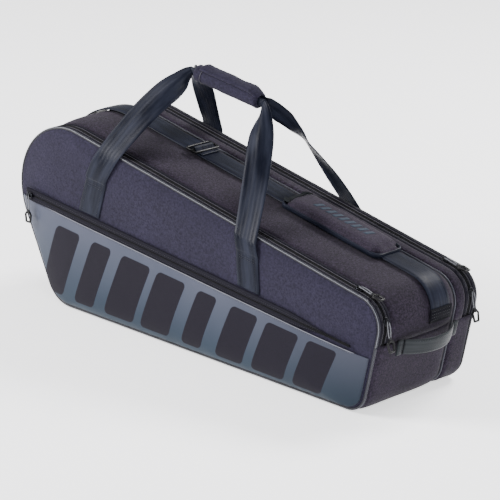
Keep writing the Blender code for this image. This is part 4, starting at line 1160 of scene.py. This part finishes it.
def build_end_handle():
    low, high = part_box("end_handle")
    middle_y, half = (low.y + high.y) / 2, (high.y - low.y) / 2
    base, _, height = JOINTS["end_handle_swing"]["pos_m"]
    below, above = outline(ROUND - 0.03), outline(ROUND)
    up = Vector((float((above[0] - below[0]) / (above[1] - below[1])), 0, 1)).normalized()
    stations = []
    for share in (-1 + 2 * k / 10 for k in range(11)):
        x, z = base + 0.0195 * (1 - abs(share) ** 2.2), height - 0.0012 * (1 - share * share)
        stations.append(((x, middle_y + half * share, z), up, 0.0235, 0.0, 0.0010))
    dress(ribbon("end_grab_handle", stations, 4, 0.0028), GREY_STRAP, "webbing", "end_handle", "end_handle")
    runs = []
    for edge in (-0.0088, 0.0088):
        points = [Vector(station[0]) + up * edge + Vector((0.0019, 0, 0)) for station in stations]
        runs.append((smooth(points, 3), (1, 0, 0)))
    stitches("end_handle_stitches", runs, "end_handle")
    section = ((-1, -0.0024), (-1, 0.0010), (-0.85, 0.0022), (0, 0.0026), (0.85, 0.0022), (1, 0.0010), (1, -0.0024))
    for word in ("front", "rear"):
        a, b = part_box(f"end_handle_tab_{word}")
        x, _, z = (a + b) / 2
        rows = [[Vector((x, y, z)) + up * (u * 0.0118) + Vector((v * grow, 0, 0)) for u, v in section]
                for y, grow in zip(np.linspace(a.y + 0.0002, b.y - 0.0002, 7), (0.5, 0.9, 1, 1, 1, 0.9, 0.5))]
        dress(skin(f"grab_tab_{word}", rows, ring=True), GREY_STRAP, "webbing", "root", f"end_handle_tab_{word}")
        runs = [([Vector((x + 0.0029, y, z)) + up * u for u in (-0.0095, 0.0095)], (1, 0, 0))
                for y in (a.y + 0.0026, b.y - 0.0026)]
        stitches(f"grab_tab_stitches_{word}", runs, "root")


# ---------------------------------------------------------------- sliders and pulls

def slider_frame(origin, along, out):
    """A matrix with X the way the pull trails and Z off the zip."""
    along, out = Vector(along).normalized(), Vector(out).normalized()
    return Matrix.Translation(origin) @ Matrix((along, out.cross(along), out)).transposed().to_4x4()


SLIDER_SHAPE = ((0.0062, 0.0028), (0.0030, 0.0044), (-0.0022, 0.0046), (-0.0058, 0.0034),
                (-0.0058, -0.0034), (-0.0022, -0.0046), (0.0030, -0.0044), (0.0062, -0.0028))
BRIDGE = ((-0.0042, 0.0042), (-0.0036, 0.0062), (-0.0016, 0.0074), (0.0014, 0.0074), (0.0034, 0.0062), (0.0040, 0.0042))


def build_slider(name, place, body, crosswise=False):
    """A cast slider body with tapered shoulders and an arched bridge."""
    turn = Matrix.Rotation(math.pi / 2, 4, "Z") if crosswise else Matrix.Identity(4)
    rows = [[place @ turn @ Vector((x * grow, y * grow, height)) for x, y in SLIDER_SHAPE]
            for height, grow in ((0.0022, 0.92), (0.0026, 1.0), (0.0040, 1.0), (0.0047, 0.86))]
    plate = skin(name + "_plate", rows, ring=True)
    bridge = rod(name + "_bridge", smooth([place @ Vector((x, 0, z)) for x, z in BRIDGE], 4), 0.0008, 8)
    return dress(joined(f"{name}_cast", [plate, bridge]), NICKEL, "metal", body, name)


PULL_RISE = 0.0064
CORD_HALF = 0.0023
TAB_START, TAB_LENGTH, TAB_HALF = 0.0268, 0.0165, 0.00602


def build_pull(name, place, body):
    """A doubled cord through the bridge, whipped above a moulded tab with an open middle."""
    side = [(0.0262, CORD_HALF * 0.7, -0.0006), (0.021, CORD_HALF * 0.9, -0.0004), (0.013, CORD_HALF * 1.15, 0.0004),
            (0.006, CORD_HALF, 0.0006), (0.0014, CORD_HALF * 0.62, 0.0002)]
    loop = smooth(side + [(-0.0002, 0.0, 0.0)] + [(x, -y, z) for x, y, z in reversed(side)], 4)
    cord = rod(name + "_cord", [place @ Vector((x, y, z + PULL_RISE)) for x, y, z in loop], 0.00085, 8)
    dress(cord, CORD, "metal", body, name + "_wire")

    def flat(x, y=0.0):
        return place @ Vector((x, y, PULL_RISE - 0.0006))

    radii = [0.0018, 0.0026, 0.0029, 0.0027, 0.0029, 0.0027, 0.0029, 0.0026, 0.0018]
    whipping = rod(name + "_whipping", [flat(x) for x in np.linspace(0.0225, 0.0280, 9)], radii, 10, flat=0.62,
                   side=[place.to_3x3() @ Vector((0, 1, 0))] * 9)
    dress(whipping, THREAD, "metal", body)
    shoulder, end = TAB_START + TAB_LENGTH * 0.28, TAB_START + TAB_LENGTH
    corners = [(TAB_START, 0.35), (shoulder, 1.0), (end, 0.72), (end, -0.72), (shoulder, -1.0), (TAB_START, -0.35)]
    points = []
    for (ax, ay), (bx, by) in zip(corners, corners[1:] + corners[:1]):
        points += [flat(ax + (bx - ax) * k / 5, (ay + (by - ay) * k / 5) * TAB_HALF) for k in range(5)]
    tab = rod(name + "_frame", points, 0.0017, 8, loop=True)
    line = [flat(TAB_START + x) for x in (-0.0005, 0.0015, 0.0035)]
    throat = rod(name + "_throat", line, [0.0024, 0.0022, 0.0012], 8)
    dress(joined(f"{name}_tag", [tab, throat]), PLASTIC, "plastic", body, name + "_tab")


LOWER_SLIDER_TURN, LOWER_SLIDER_REACH = math.radians(14), 0.040
POCKET_SLIDER_X = -0.338


def build_fittings():
    out = Vector((math.cos(LOWER_SLIDER_TURN), 0, math.sin(LOWER_SLIDER_TURN)))
    for word, zip_y in (("front", FRONT_SEAM + ZIP_BAND / 2), ("rear", REAR_SEAM - ZIP_BAND / 2)):
        x, _, z = JOINTS[f"{word}_lower_turn"]["pos_m"]
        for part, place in (
                ("upper", slider_frame(top_point(0.322, zip_y), ALONG_TOP, OFF_TOP)),
                ("lower", slider_frame(Vector((x, zip_y, z)) + out * LOWER_SLIDER_REACH, (out.z, 0, -out.x), out))):
            build_slider(f"{word}_{part}_slider", place, f"{word}_{part}_slider")
            build_pull(f"{word}_{part}_pull", place, f"{word}_{part}_pull")
    origin = (POCKET_SLIDER_X, POCKET_ZIP_Y - 0.0012, pocket_z(POCKET_SLIDER_X))
    place = slider_frame(origin, (0, 0, -1), (0, -1, 0))
    build_slider("pocket_slider", place, "pocket_slider", crosswise=True)
    build_pull("pocket_pull", place, "pocket_pull")


# ---------------------------------------------------------------- lights, floor and camera

def area_light(name, place, target, size, power, colour):
    data = bpy.data.lights.new(name, "AREA")
    data.shape = "RECTANGLE"
    data.size, data.size_y = size
    data.energy = power
    data.color = colour
    lamp = new_object(name, data)
    lamp.location = place
    lamp.rotation_euler = (Vector(target) - Vector(place)).to_track_quat("-Z", "Y").to_euler()


def build_stage():
    bm = bmesh.new()
    bmesh.ops.create_grid(bm, x_segments=1, y_segments=1, size=14.0)
    floor = from_bmesh("floor", bm)
    floor.location.z = -0.0005
    look = Look("pale_floor", (255, 255, 255), 0.9, 0.1)
    shine = {"Base Color": (0.93, 0.93, 0.94, 1.0), "Emission Color": (1.0, 1.0, 1.0, 1.0), "Emission Strength": 1.1}
    for key, value in shine.items():
        look.shader.inputs[key].default_value = value
    floor.data.materials.append(look.material)
    world = bpy.data.worlds.new("studio")
    bpy.context.scene.world = world
    world.use_nodes = True
    light = world.node_tree.nodes["Background"].inputs
    light["Color"].default_value, light["Strength"].default_value = (0.97, 0.98, 1.0, 1.0), 0.50
    area_light("key", (-2.3, -2.4, 2.0), (0, 0, 0.15), (1.5, 1.5), 258, (1.0, 0.985, 1.0))
    area_light("fill", (2.6, -1.4, 1.3), (0, 0, 0.15), (1.2, 1.2), 64, (0.95, 0.97, 1.0))
    area_light("back", (0.35, 2.1, 2.3), (0.05, 0, 0.2), (1.2, 0.9), 130, (1.0, 0.99, 1.0))


CAMERA_TURN, CAMERA_HEIGHT, CAMERA_ROLL = 0.762747, 0.324938, 0.02117
CAMERA_TARGET, CAMERA_DISTANCE = Vector((0.01755, 0, 0.13879)), 4.0912


def build_camera():
    """The camera, 43.7 degrees round from the front and 18.6 up."""
    turn, height, roll = CAMERA_TURN, CAMERA_HEIGHT, CAMERA_ROLL
    back = Vector((math.sin(turn) * math.cos(height), -math.cos(turn) * math.cos(height), math.sin(height)))
    right = Vector((math.cos(turn), math.sin(turn), 0))
    up = back.cross(right)
    across = right * math.cos(roll) + up * math.sin(roll)
    upright = up * math.cos(roll) - right * math.sin(roll)
    data = bpy.data.cameras.new("camera")
    data.lens = 197.0
    data.sensor_width = 36.0
    data.clip_end = 100
    camera = new_object("camera", data)
    camera.matrix_world = Matrix.Translation(CAMERA_TARGET + back * CAMERA_DISTANCE) @ \
        Matrix((across, upright, back)).transposed().to_4x4()
    bpy.context.scene.camera = camera


# ---------------------------------------------------------------- the whole bag

build_camera()
build_stage()
for side, word in ((-1, "front"), (1, "rear")):
    side_panel(side, word)
    build_zip(side, word)
    build_handle(side, word)
build_gussets()
build_piping()
build_pocket()
build_shoulder_strap()
build_pad()
build_adjuster()
build_end_handle()
build_fittings()
for node in ("divider", "base_board"):
    cad = frame["nodes"][node]
    cad.data.materials.clear()
    cad.data.materials.append(LINING)
